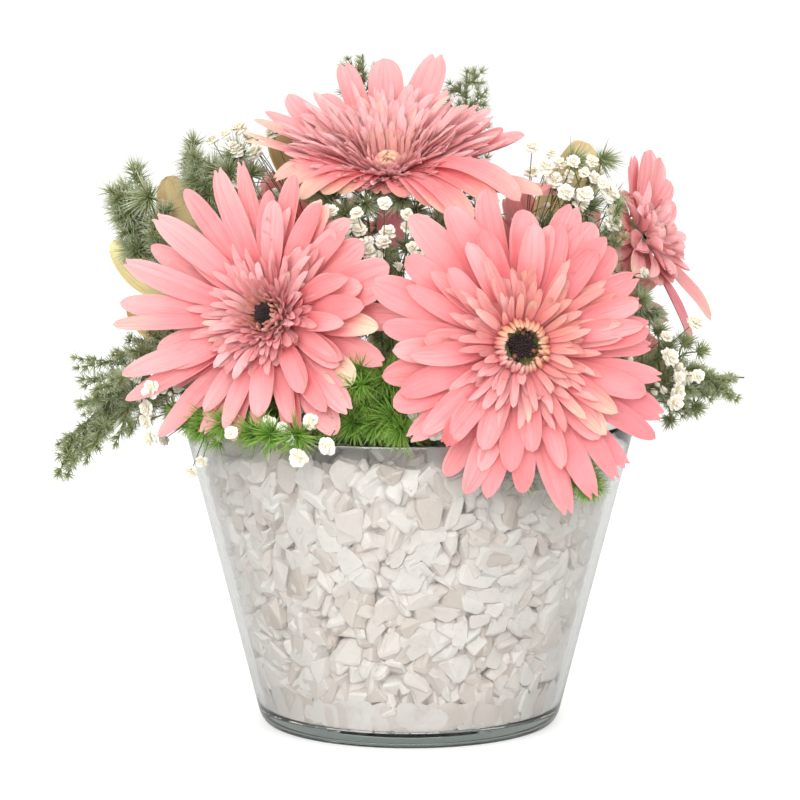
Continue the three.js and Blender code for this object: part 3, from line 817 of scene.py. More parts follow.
def scatterStones():
    # stones in two rings behind the glass, over the floor and on top, no two centres too close
    c, rng = chips, np.random.default_rng(chips["seed"])
    kept, cells = [], {}
    for k in range(c["footStones"]):
        # small ones in the corner by the vase's floor
        angle = 2 * math.pi * (k + rng.uniform(-0.3, 0.3)) / c["footStones"]
        radius = innerRadius(8 * mm) - rng.uniform(2.4, 4.2) * mm
        z = rng.uniform(7.4, 10.2) * mm
        kept.append(np.array([radius * math.cos(angle), radius * math.sin(angle), z]))
    for k in range(c["tries"]):
        z = rng.uniform(c["bottom"], c["top"] - 1.5 * mm)
        outer = innerRadius(z) - c["fromGlass"]
        inner = outer - c["rings"]
        if rng.random() < c["onTop"]:
            z, inner = c["top"] - rng.uniform(1.5, 7) * mm, c["foamRadius"] + 3 * mm
        elif rng.random() < c["onFloor"]:
            z, inner = c["bottom"] + rng.uniform(0, 3) * mm, 0
        radius = math.sqrt(rng.uniform(inner ** 2, outer ** 2))
        angle = rng.uniform(0, 2 * math.pi)
        place = np.array([radius * math.cos(angle), radius * math.sin(angle), z])
        cell = tuple((place // c["apart"]).astype(int))
        near = [kept[i] for x in (-1, 0, 1) for y in (-1, 0, 1) for up in (-1, 0, 1)
                for i in cells.get((cell[0] + x, cell[1] + y, cell[2] + up), [])]
        if any(np.linalg.norm(place - other) < c["apart"] for other in near):
            continue
        cells.setdefault(cell, []).append(len(kept))
        kept.append(place)
    return kept, rng


def makeChips():
    c = chips
    places, rng = scatterStones()
    sizes = rng.uniform(0.85, 1.2, len(places)) * c["size"]
    sizes[:c["footStones"]] *= c["footSize"]
    layers = {"size": sizes, "tone": rng.random(len(places)),
              "inset": rng.uniform(0.35, 1.3, len(places)) * mm}
    slope = (vase["rimRadius"] - vase["heelRadius"]) / (vase["height"] - vase["heelHeight"])
    stones = grow("chips", places, [], layers, chipTree, {
        "Shapes": makeStoneShapes(), "Smallest": c["smallest"], "Largest": c["largest"], "Seed": c["seed"],
        "Foot Radius": innerRadius(0), "Slope": slope, "Foam Radius": c["foamRadius"],
        "Floor": vase["floor"] + 0.35 * mm, "Finish": chipMaterial})
    # the rough heap of packed chips behind the stones that show
    low, high, pocket = 12 * mm, 98 * mm, c["foamRadius"] + 0.3 * mm
    deep = [(0, low), (innerRadius(low) - 2 * c["behind"], low)]
    deep += [(innerRadius(z) - c["behind"], z) for z in np.linspace(low + 2.5 * mm, high, c["heapRings"])]
    deep += [(pocket, 99 * mm), (pocket, 15 * mm), (0, 15 * mm)]
    heap = latheMesh("heap", deep, c["heapSides"], chipMaterial)
    heap.data.shade_flat()
    for vert in heap.data.vertices:
        radius = math.hypot(vert.co.x, vert.co.y)
        if radius > c["foamRadius"] + 4 * mm:
            vert.co *= 1 - rng.uniform(0, c["rough"]) / radius
            vert.co.z += rng.uniform(0, c["rough"])
    # the heap takes only the lighter tones: painted light that brightens the shaded gaps between the stones
    tone = heap.data.attributes.new("tone", "FLOAT", "POINT")
    tone.data.foreach_set("value", rng.uniform(0.5, 1.0, len(heap.data.vertices)))
    piece = joinPieces("marbleChips", [stones, heap])
    print(len(places), "stones,", len(piece.data.polygons), "faces")
    return piece


finishPiece(makeChips(), "marble_chips", "pebble_bed")

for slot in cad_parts["floral_foam"].material_slots:
    slot.material = foamMaterial
print("chips and foam made")


# centre, facing, cup and exit are the part's own. arch: clock from, to and degrees of bend of the
# rays that arch over; lean: clock, share and degrees by which the florets are longer and flatter;
# shaded side: clock and share of painted shade. rays: clock, length, width, rise, cream tip, painted shade.
gerberas = {
    "top": {
        "centre": (-8, -8, 213), "facing": (-0.03, -0.42, 0.9), "reach": 61, "cup": 20,
        "exit": (-3, -2), "full": True, "disc": 2.5, "flush": (270, 0.9), "arch": (190, 330, 55),
        "lean": (272, 0.13, 3), "shortFront": 0.6,
        "rays": [
            (8, 44, 11.2, 18), (24, 38, 9, 14), (42, 34, 9, 12), (58, 35, 9.5, 16), (76, 56, 12.3, 20),
            (95, 52.5, 12.3, 20), (111, 51, 8.6, 22), (127, 40, 9, 20), (140, 46, 9.8, 20),
            (157, 45, 9.8, 20), (170, 46, 6, 24, 0.5), (177, 48.6, 4.8, 20, 0.9), (184, 48, 5, 20, 0.9),
            (202, 36, 8.8, 5, 0.5), (213, 35, 8.6, 6, 0.6), (225, 34, 9, 5, 0.7),
            (231, 27, 8.6, 7, 0.8), (238, 21.5, 8.8, 5, 0.8), (248, 16, 8.6, 6, 0.5),
            (266, 13, 8.6, 3, 0.3), (287, 19, 9, 5, 0.3), (297, 31.5, 9, 5, 0.4),
            (302, 41, 8.6, 5, 0.6), (306, 49, 8.6, 4, 0.4), (319, 47.5, 9.4, 5, 0.5),
            (327, 52, 9, 5, 0.2), (336, 55, 9.8, 6, 0.5), (345, 55, 8.6, 5), (354, 54, 8.2, -4, 0.3),
            # this ray hangs down under the head; its last value paints it in shade
            (275, 24, 10, -76, 0, 1.8),
        ],
    },
    "front_right": {
        "centre": (40, -86, 152), "facing": (0.15, -0.97, 0.13), "reach": 52, "cup": 4,
        "exit": (14, -24), "pale": 0.35, "peach": 0.9, "warmth": 0.16, "lean": (40, 0.1, -2),
        "nest": True, "flush": (330, 0.9), "disc": 4.2,
        "rays": [
            (8, 38, 9.9, 4), (19, 38, 8.6, -2), (30, 40, 9.9, 4), (44, 40, 9.4, -1), (58, 42, 10.6, 4),
            (68, 44.5, 10.4, 4), (88, 39.5, 10.9, 4), (102, 48, 9.2, 4), (117, 47, 10.9, 4),
            (129, 51.5, 10.9, -1), (142, 43, 9, 6), (156, 48, 11.6, -1), (171, 41, 8.6, 4),
            (191, 42, 10.8, 4), (204, 41.5, 10.8, 4), (218, 43, 8.6, 4), (229, 38, 8.3, 17),
            (239, 44, 8, -3), (248, 47, 8.6, 4), (256, 46, 8.6, 4), (270, 43, 8.8, 0),
            (285, 53, 9.8, 3), (295, 51, 8.6, 4), (305, 49.5, 7, 4), (311, 48, 8.4, 4),
            (325, 49.5, 8, 4), (333, 47.5, 9.9, 4), (347, 43, 7.4, 4), (359, 38, 6.6, 4),
        ],
    },
    "front_left": {
        "centre": (-53, -60, 161), "facing": (-0.46, -0.84, 0.3), "reach": 51, "cup": 6,
        "exit": (-19, -19), "peach": -0.2, "lean": (135, 0.3, 12), "disc": 4.1, "warmth": -0.25,
        "rays": [
            (3, 46, 9.4, -4), (14, 41, 8.6, 8), (23, 43, 10.4, 6), (39, 36.5, 10.3, 6), (54, 37, 9, 2),
            (68, 37, 10.4, 6, 0.4), (86, 43, 8.6, 6), (105, 49, 7.6, 16), (113, 48.5, 9, 21),
            (128, 48, 8, 24), (144, 48, 9.6, 26), (156, 46, 8.2, 11), (166, 48.5, 8.6, 30),
            (182, 47.5, 8.2, 26), (191, 49.5, 5, 26, 0.3), (210, 49.5, 8, 21), (218, 52, 8.2, 16),
            (233, 40, 7.2, 6), (235, 50.5, 8.2, 11), (251, 40, 8.2, 12), (264, 37, 7.2, 19),
            (277, 37, 6, 6, 0.4), (294, 40, 8.4, 4), (310, 44.5, 10.2, 1), (321, 44, 9, 6),
            (331, 38, 11, 6, 0.8), (344, 42, 8.4, 0), (357, 39, 9.2, 8, 1),
        ],
    },
    "right": {
        "centre": (94, 22, 184), "facing": (0.82, -0.36, 0.42), "reach": 31, "cup": 14, "exit": (26, 5),
        "full": True, "open": True, "disc": 1.2, "pale": -0.6,
        "rays": [
            (17, 20, 8.4, 22), (33, 25, 9, 24), (49, 28, 9.4, 24), (65, 27, 9, 25), (78, 25, 8, 30),
            (90, 23, 7.6, 25), (104, 20, 7, 25), (126, 14, 7, 12), (150, 15, 8, 5),
            (168, 17, 9, -16, 0.8), (183, 18, 9.6, -20, 1), (198, 20, 9.6, -26, 1),
            (203, 24, 9, 4, 0.8), (214, 15, 9, 0, 0.6), (232, 13, 8, 5), (250, 12, 8, 5, 0.4),
            (270, 12, 8, 14), (290, 13, 8, 20), (304, 15, 8, 12, 0.3), (331, 12, 8, 22),
            # the last ray here points down under the head; its last value paints it in shade
            (346, 14, 8, 20), (359, 16, 8.4, 22), (315, 43, 9.4, 0, 0.5), (269, 37, 11, 0, 0.2, 1.7),
        ],
    },
    "back_right": {
        "centre": (60, 74, 150), "facing": (0.52, 0.82, 0.24), "reach": 52, "cup": 4, "exit": (17, 20),
    },
    "back_left": {
        "centre": (-56, 68, 158), "facing": (-0.5, 0.82, 0.28), "reach": 53, "cup": 5,
        "exit": (-17, 19),
    },
}

# Rows over the rays: how many, length (up to 1 it is a share of the head's reach), width, rise
# over the cup, radius and height where they grow, bend, peach share, untidiness, cream tips.
petalRows = [
    (16, 0.86, 9.4, 4, 8.0, 11.0, 12, 0.0, 0.8),
    (13, 0.76, 8.4, 8, 7.8, 11.5, 10, 0.0, 1.1),
]
heartRows = [
    (32, 24, 3.9, 9, 7.6, 11.9, 4, 0.0, 1.9),
    (38, 20.5, 3.5, 15, 7.4, 12.2, 2, 0.0, 2.1),
    (40, 17.5, 3.2, 23, 7.2, 12.6, 0, 0.05, 2.2),
    (40, 14.5, 2.9, 32, 7.0, 13.0, -8, 0.1, 2.2),
    (38, 11.5, 2.6, 42, 6.8, 13.3, -16, 0.2, 2.1),
    (34, 8.5, 2.2, 56, 6.4, 13.7, -30, 0.35, 1.8),
]
budRows = [
    (30, 6.2, 1.7, 70, 5.2, 13.6, -50, 0.5, 1.4),
    (26, 4.6, 1.4, 84, 4.6, 13.8, -20, 1.2, 1.2),
]
nestRows = [
    (34, 6.6, 1.5, 118, 9.8, 14.4, -100, 1.2, 1.0, 0.35),
    (32, 5.8, 1.4, 100, 7.9, 14.2, -110, 1.2, 1.1, 0.3),
    (28, 4.8, 1.3, 84, 6.0, 13.8, -80, 1.2, 1.0, 0.2),
]
fullPetalRows = [
    (22, 0.7, 6.0, 0, 8.0, 11.0, 8, 0.0, 0.8),
    (44, 0.68, 3.2, 3, 7.5, 11.7, 2, 0.0, 1.0),
]
fullHeartRows = [
    (56, 35, 3.6, 4, 7.4, 12.2, 2, 0.0, 1.3),
    (58, 32, 3.4, 9, 7.2, 12.4, 2, 0.0, 1.4),
    (58, 29, 3.2, 14, 6.9, 12.7, 0, 0.0, 1.5),
    (58, 26, 3.1, 20, 6.6, 13.0, 0, 0.0, 1.6),
    (54, 22.5, 3.0, 27, 6.3, 13.2, -4, 0.0, 1.6),
    (50, 19, 2.8, 34, 6.0, 13.4, -8, 0.05, 1.6),
    (44, 15.5, 2.7, 42, 5.8, 13.6, -12, 0.1, 1.5),
    (38, 12, 2.5, 52, 5.6, 13.8, -20, 0.3, 1.3),
    (14, 9.0, 4.6, 104, 5.6, 12.8, -96, 0.8, 0.4, 0.6),
    (10, 7.0, 4.6, 110, 4.0, 13.8, -100, 0.9, 0.4, 0.6),
    (7, 5.0, 4.0, 114, 2.6, 15.0, -90, 0.9, 0.3, 0.6),
]
# the loose heart of the head that stands edge-on
openHeartRows = [
    (12, 15.5, 8.4, 0, 7.0, 11.8, 24, 0.0, 1.8),
    (11, 13, 7.4, 16, 6.4, 12.4, 30, 0.0, 1.9),
    (11, 10.5, 5.6, 34, 5.6, 13.0, 0, 0.0, 1.7),
    (18, 8, 3.0, 50, 4.8, 13.6, -20, 0.1, 1.4),
    (14, 7.5, 4.4, 104, 4.8, 13.4, -60, 0.2, 0.8),
    (10, 6.4, 4.4, 110, 3.6, 14.2, -96, 0.2, 0.4),
    (7, 4.8, 4.0, 112, 2.4, 15.2, -90, 0.3, 0.3),
]
disc = {"radius": 5.0, "foot": 12.0, "height": 3.6, "buds": 90, "budSize": 0.62}
# rings: where each ring of bracts starts, how high and how steep
calyx = {
    "rings": [(3.4, 0.5, 36), (5.2, 1.8, 48), (6.9, 3.6, 62)], "bracts": 15, "length": 6.2, "width": 3.4,
    "profile": [(0, 0), (2.6, 0), (3.3, 0.15), (4.6, 0.9), (6.5, 2.5), (7.9, 4.6), (8.8, 7.2), (8.7, 8.4),
                (7.6, 9), (0, 9)],
}
discHeight, rayStart, rayHeight = 16.7, 9.0, 10.2
goldenTurn = 2.39996
# the full rows suit a head of this reach; the florets are most peach at this clock
fullReach, peachClock = 61, 45


def headPlace(spec):
    axis = unit(spec["facing"])
    foot = np.array(spec["centre"]) * mm - discHeight * mm * axis
    side = unit(np.cross([0, 0, 1], axis))
    return foot, np.array([side, np.cross(axis, side), axis])


def addBlade(sheaf, place, clock, start, height, tint, rng, **form):
    foot, basis = place
    points, shape = bladePoints(**form)
    points = turnedAbout(points + [start * mm, 0, height * mm], clock)
    shape[:, 2] = rng.random()
    faces, rim = bladeGrid(form["rows"], form["columns"])
    sheaf.add(foot + points @ basis, faces, shape, tint, rim)


def addRay(sheaf, place, spec, rng, clock, length, width, rise, cream=0.0, dusk=0.0):
    low, high, arch = spec.get("arch", (0, 0, 0))
    arched = low < clock < high and rise > -20
    start, height = (8.0, 13.5) if arched else (rayStart, rayHeight)
    # rays that face the head's shaded side get a deeper tone: painted shade
    paintedShadeSideClock, flush = spec.get("flush", (0, 0))
    tone = rng.uniform(0, 0.5) + flush * max(0, math.cos(math.radians(clock - paintedShadeSideClock)))
    # a painted shade value replaces the tone and darkens the ray to mauve as shade
    tint = (dusk or tone + spec.get("pale", 0), 0.0, cream)
    notched = rng.random() < 0.35
    addBlade(
        sheaf, place, math.radians(clock), start, height + rng.uniform(-0.6, 0.6), tint, rng,
        length=length * mm, width=1.1 * width * mm, rise=rise, rows=16, columns=11,
        bend=(arch if arched else 2) + rng.uniform(0, 16), curl=rng.uniform(-22, 16),
        cup=rng.uniform(-0.12, 0.28), twist=rng.uniform(-12, 12), sway=rng.uniform(-0.05, 0.05),
        wave=rng.uniform(0.005, 0.04), wavePhase=rng.uniform(0, 6), point=rng.uniform(1.9, 3.6),
        widest=rng.uniform(0.54, 0.7), base=rng.uniform(0.44, 0.6), groove=rng.uniform(0.03, 0.075),
        blunt=0.12 if notched else 0.004, notch=rng.uniform(1, 2.4) * mm if notched else 0.0)


def addRow(sheaf, place, row, spec, rng):
    count, reach, width, rise, rowStart, rowHeight, bend, peach, loose, *cream = row
    full, isRays = spec.get("full"), reach <= 1
    columns = 9 if width > 5 else 5 if width > 3 else 3
    leanClock, leanShare, leanRise = spec.get("lean", (0, 0, 0))
    low, high = (-1.6, -0.5) if full else (-0.3, 0.8) if isRays else (-1.0, 0.2)
    for k in range(count):
        clock = 2 * math.pi * (k + rng.uniform(-0.4, 0.4) * loose) / count
        lean = 0 if isRays else math.cos(clock - math.radians(leanClock))
        if isRays:
            length = reach * (spec["reach"] - rowStart)
        else:
            length = reach * (spec["reach"] / fullReach if full and not spec.get("open") else 1)
        length *= (1 + leanShare * lean) * (1 + rng.uniform(-0.13, 0.1) * loose)
        length *= 1 - spec.get("shortFront", 0) * max(0, -math.sin(clock))
        side = math.cos(clock - math.radians(peachClock))
        inner = 0 if isRays else (peach + spec.get("warmth", 0)) * (1 + spec.get("peach", 0) * side)
        tone = rng.uniform(low, high) + spec.get("pale", 0)
        start, height = rowStart + rng.uniform(-0.4, 0.4), rowHeight + rng.uniform(-0.4, 0.4)
        inner = min(1, max(0, inner * rng.uniform(0.6, 1.2)))
        edge = 0.6 * (rng.random() < 0.03)
        addBlade(
            sheaf, place, clock, start, height, (tone, inner, cream[0] if cream else edge), rng,
            length=length * mm, width=width * rng.uniform(0.8, 1.15) * mm,
            rise=spec["cup"] + rise - leanRise * lean + rng.uniform(-6, 6) * loose,
            rows=12 if columns == 9 else 8, columns=columns,
            bend=bend + rng.uniform(-10, 10) * loose, curl=rng.uniform(-18, 24) * loose,
            cup=rng.uniform(0.1, 0.6), twist=rng.uniform(-16, 16) * loose,
            sway=rng.uniform(-0.07, 0.07) * loose, thick=(0.45 if columns == 9 else 0.32) * mm,
            point=rng.uniform(2.0, 3.6), groove=0.03 * (columns == 9))


def makePetals(name, spec, seed):
    rng = np.random.default_rng(seed)
    sheaf, place = Sheaf(), headPlace(spec)
    rays = spec.get("rays")
    if not rays:
        longest = spec["reach"] - rayStart
        rays = [(16.4 * k + rng.uniform(-4, 4), longest * rng.uniform(0.93, 1.03), rng.uniform(7.8, 10.6),
                 spec["cup"] + rng.uniform(-5, 5)) for k in range(22)]
    for ray in rays:
        addRay(sheaf, place, spec, rng, *ray)
    for row in [] if spec.get("open") else fullPetalRows if spec.get("full") else petalRows:
        addRow(sheaf, place, row, spec, rng)
    return sheaf.toObject(name, petalMaterial)


def makeBudShapes(name, longer, lift):
    # a small bud; depth is 0 at its foot and 1 at its tip
    bud = bmesh.new()
    depth = bud.verts.layers.float.new("depth")
    bmesh.ops.create_icosphere(bud, subdivisions=1, radius=1.0)
    for vert in bud.verts:
        vert[depth] = 0.5 + 0.5 * vert.co.z
        vert.co.z = vert.co.z * longer + lift
    piece = linkShape(name, bud)
    piece.data.shade_smooth()
    return templates(name + "s", [piece])


discBuds = makeBudShapes("discBud", 1.5, 0.4)


def setOnHead(piece, foot, basis):
    # from the flower's own axes to the part's
    points = np.array([vert.co for vert in piece.data.vertices])
    piece.data.vertices.foreach_set("co", (foot + points @ basis).ravel())


def makeDisc(name, spec, seed):
    # the dark disc: a dome of tiny buds in a sunflower spiral, over a smooth dome that closes it
    foot, basis = headPlace(spec)
    size = spec.get("disc", disc["radius"]) / disc["radius"]
    points, aims, tones, sizes = [], [], [], []
    for k in range(disc["buds"]):
        share = math.sqrt((k + 0.5) / disc["buds"])
        turn = k * goldenTurn
        radius, east, north = disc["radius"] * share * size, math.cos(turn), math.sin(turn)
        z = disc["foot"] + disc["height"] * (1 - 0.55 * share ** 2)
        points.append(foot + np.array([radius * east, radius * north, z]) * mm @ basis)
        aims.append(np.array([share * east, share * north, 1.4 - share]) @ basis)
        tones.append(1.0 if share > 0.9 and k % 3 == 0 else 0.55 * share)
        sizes.append(disc["budSize"] * size * mm * (1 + 0.9 * (share > 0.88) * (k % 2)))
    layers = {"aim": aims, "size": sizes, "tone": tones}
    buds = scatter(name + "Buds", points, layers, discBuds, 0.8, 1.2, seed, discMaterial)
    radius, low, high = disc["radius"] * mm * size, disc["foot"] * mm, disc["height"] * mm
    profile = [(0, low - 1 * mm), (radius, low - 1 * mm)]
    for angle in np.linspace(0.3, 1.4, 5):
        profile.append((radius * math.cos(angle), low + high * 0.92 * math.sin(angle)))
    profile.append((0, low + high * 0.93))
    dome = latheMesh(name + "Dome", profile, 20, discMaterial)
    setOnHead(dome, foot, basis)
    tone = dome.data.attributes.new("tone", "FLOAT", "POINT")
    tone.data.foreach_set("value", [0.1] * len(dome.data.vertices))
    return [buds, dome]


def heartRowsOf(spec):
    if spec.get("open"):
        return openHeartRows
    if spec.get("full"):
        return fullHeartRows
    return heartRows[:4] + nestRows if spec.get("nest") else heartRows + budRows


def makeHeart(name, spec, seed):
    rng = np.random.default_rng(seed + 500)
    sheaf, place = Sheaf(), headPlace(spec)
    for row in heartRowsOf(spec):
        addRow(sheaf, place, row, spec, rng)
    return joinPieces(name, [sheaf.toObject(name, petalMaterial)] + makeDisc(name, spec, seed))


def makeCalyx(name, spec, seed):
    # a green cup under the rays, with three rings of slim bracts lying on it
    rng = np.random.default_rng(seed + 900)
    foot, basis = headPlace(spec)
    profile = [(radius * mm, z * mm) for radius, z in calyx["profile"]]
    cup = latheMesh(name + "Cup", profile, 28, stemMaterial)
    setOnHead(cup, foot, basis)
    sheaf, count = Sheaf(), calyx["bracts"]
    for ring, (start, height, rise) in enumerate(calyx["rings"]):
        for k in range(count):
            clock = 2 * math.pi * (k + 0.5 * ring + rng.uniform(-0.15, 0.15)) / count
            addBlade(
                sheaf, (foot, basis), clock, start, height - 0.2, (rng.random(), 0.0, 0.0), rng,
                length=calyx["length"] * rng.uniform(0.85, 1.05) * mm, width=calyx["width"] * mm,
                rise=rise, rows=6, columns=5, bend=-26, cup=-0.3, groove=0.0, thick=0.4 * mm,
                base=0.7, widest=0.3, point=1.3)
    return joinPieces(name, [cup, sheaf.toObject(name + "Bracts", stemMaterial)])


def pieceName(place, kind):
    first, *rest = place.split("_")
    return first + "".join(word.title() for word in rest) + kind


for index, (place, spec) in enumerate(gerberas.items()):
    foot, basis = headPlace(spec)
    top = foot - 0.3 * mm * basis[2]
    line = smoothPath(stemPoints(spec["exit"], top - 9 * mm * basis[2], top), 34)
    stem = sweepLines(pieceName(place, "Stem"), [(line, 2.35 * mm, 2.6 * mm)], stemMaterial, 14)
    finishPiece(stem, "green_stem", place + "_gerbera_stem")
    finishPiece(makeCalyx(pieceName(place, "Calyx"), spec, index), "green_stem", place + "_gerbera_calyx")
    petals = makePetals(pieceName(place, "Petals"), spec, 30 + index)
    finishPiece(petals, "pink_petal", place + "_gerbera_petals")
    heart = makeHeart(pieceName(place, "Heart"), spec, 60 + index)
    finishPiece(heart, "peach_heart", place + "_gerbera_heart")
print("gerberas made")


# exit, via and tip are where the part's sprays run; spread is the plume's half width, low where
# its first branch leaves, needle its needles' length against the usual. stars are extra bunches.
ferns = {
    "left_low": {
        "exit": (-33, -11), "via": (-84.8, -20.4, 139), "tip": (-128.7, -31.4, 110), "spread": 27,
        "needle": 1.15,
        "stars": [(-98, -28, 143), (-106, -24, 132), (-88, -30, 122)],
    },
    "left_high": {
        "exit": (-22, 3), "via": (-80, 12, 158), "tip": (-107, 18, 200), "spread": 20, "needle": 1.6,
        "low": 0.3,
        "stars": [(-106, 10, 192), (-98, 6, 198), (-94, 8, 186), (-103, 8, 178)],
    },
    "left_top": {
        "exit": (-29, 11), "via": (-66, 24, 172), "tip": (-83, 22, 212), "spread": 15, "needle": 1.6,
        "low": 0.3,
        "stars": [(-80, 16, 204), (-74, 14, 208), (-65, 12, 213), (-68, 8, 207), (-60, 10, 206)],
    },
    "crown_left": {
        "exit": (-7, 13), "via": (-16, 30, 190), "tip": (-18, 44, 250), "spread": 14, "low": 0.16,
        "thick": 1.5,
        "stars": [
            (-24, -22, 194), (-29, -18, 199), (-21, -14, 188), (-16, -22, 197), (-36, -12, 203),
            (-26, -22, 182), (-20, -22, 177), (-14, -10, 176), (-22, -6, 186), (-8, -16, 170),
        ],
    },
    "crown_right": {
        "exit": (9, 12), "via": (20, 32, 185), "tip": (22, 44, 243), "spread": 12, "low": 0.16,
        "thick": 1.5,
        "stars": [
            (-3, -20, 199), (2, -14, 194), (4, -20, 187), (-1, -20, 181), (10, -20, 189),
            (-4, -20, 174), (-11, -20, 176), (16, -12, 186), (22, -6, 176), (12, 2, 190),
            (28, -12, 192),
        ],
    },
    "front_middle": {
        "exit": (-4, -35), "via": (-10, -58, 128), "tip": (-12, -76, 138), "spread": 17, "fresh": True,
        "needle": 1.9, "low": 0.3,
        "stars": [(-6, -78, 126), (-3, -82, 122), (-28, -70, 124), (-20, -72, 123), (-12, -74, 123)],
    },
    "front_left": {
        "exit": (-14, -33), "via": (-45.3, -44.2, 124), "tip": (-77.2, -51.9, 119), "spread": 15,
        "fresh": True, "needle": 1.7, "low": 0.3,
        "stars": [
            (-49, -82, 120), (-55, -76, 120), (-66, -66, 122), (-72, -58, 122), (-40, -84, 120),
            (-60, -58, 121),
        ],
    },
    "right_high": {
        "exit": (26, -9), "via": (56.4, -22.4, 152), "tip": (75.7, -15, 190), "spread": 17, "low": 0.2,
        "thick": 1.4,
        "stars": [
            (50, -12, 188), (44, -6, 180), (60, -14, 196), (66, -8, 196), (76, -2, 164), (81, 2, 167),
            (86, -2, 161), (90, -2, 155), (84, -2, 157), (60, 2, 178), (66, 2, 186), (68, 12, 204),
            (76, 10, 197), (61, 10, 211), (72, 8, 212), (55, 8, 203),
        ],
    },
    "right_low": {
        "exit": (36, 0), "via": (82, -14, 133), "tip": (124, -20, 133), "spread": 20, "needle": 1.1,
        "stars": [
            (100, -22, 128), (96, -26, 118), (106, -22, 122), (92, -20, 150), (86, -10, 160),
            (96, -14, 143), (102, -14, 145), (108, -14, 142), (99, -14, 137),
        ],
    },
    "front_right": {
        "exit": (9, -36), "via": (45.1, -62.2, 128.1), "tip": (62.6, -75, 100.5), "spread": 14,
        "fresh": True, "needle": 1.4,
        "stars": [(41, -78, 103), (62, -70, 101)],
    },
    "back_middle": {
        "exit": (2, 35), "via": (4, 74, 132), "tip": (5, 104, 138), "spread": 22, "fresh": True,
        "needle": 1.5,
    },
    "back_right": {
        "exit": (27, 24), "via": (80.2, 38.7, 128), "tip": (117.8, 48.4, 118), "spread": 22,
        "needle": 1.1,
    },
    "back_left": {
        "exit": (-28, 23), "via": (-81, 29, 128), "tip": (-117.4, 36.9, 112), "spread": 22,
        "needle": 1.1,
    },
}
fernForm = {
    "branches": 30, "low": 0.4, "sweep": 0.7, "stem": 0.9 * mm, "twig": 0.26 * mm, "tuftsApart": 2.4 * mm,
    "needles": 20, "needleLength": 5.8 * mm, "needleWidth": 0.4 * mm, "starTufts": 7, "bow": 0.22,
    "splitReach": 0.4,
}


def clearOfVase(place, room):
    # above the rim, outside it, or inside over the chips, and within the part's own box
    if (place < boxLow + room).any() or (place > boxHigh - room).any():
        return False
    radius = math.hypot(place[0], place[1])
    overChips = place[2] > chips["top"] + room and radius < vase["rimRadius"] - vase["wall"] - room
    return place[2] > vase["height"] + room or radius > vase["rimRadius"] + room or overChips


def direction(tilt, turn):
    return math.sin(tilt) * math.cos(turn), math.sin(tilt) * math.sin(turn), math.cos(tilt)


def makeTuftShapes():
    # fans of thin needles round +Z, a unit needle long; depth is 0 at the foot and 1 at the tip
    shapes, thin = [], 0.55 * fernForm["needleWidth"] / fernForm["needleLength"]
    for k in range(5):
        rng = np.random.default_rng(300 + k)
        verts, faces, depth = [], [], []
        for i in range(fernForm["needles"]):
            turn = 2.4 * i + rng.uniform(-0.4, 0.4)
            aim = np.array(direction(math.radians(rng.uniform(6, 84)), turn))
            side = unit(np.cross(aim, [0.3, 0.5, 0.81]))
            other = np.cross(aim, side)
            foot = len(verts)
            for angle in (0, 2.0944, 4.1888):
                around = math.cos(angle) * side + math.sin(angle) * other
                verts.append(tuple(0.03 * aim + thin * around))
            verts.append(tuple(rng.uniform(0.65, 1.1) * aim))
            depth += [0, 0, 0, 1]
            faces += [tuple(foot + i for i in face) for face in ((0, 2, 1), (0, 1, 3), (1, 2, 3), (2, 0, 3))]
        mesh = bpy.data.meshes.new(f"tuftShape{k}")
        mesh.from_pydata(verts, [], faces)
        mesh.attributes.new("depth", "FLOAT", "POINT").data.foreach_set("value", depth)
        shapes.append(link(mesh.name, mesh))
    return templates("tuftShapes", shapes)


tuftShapes = makeTuftShapes()


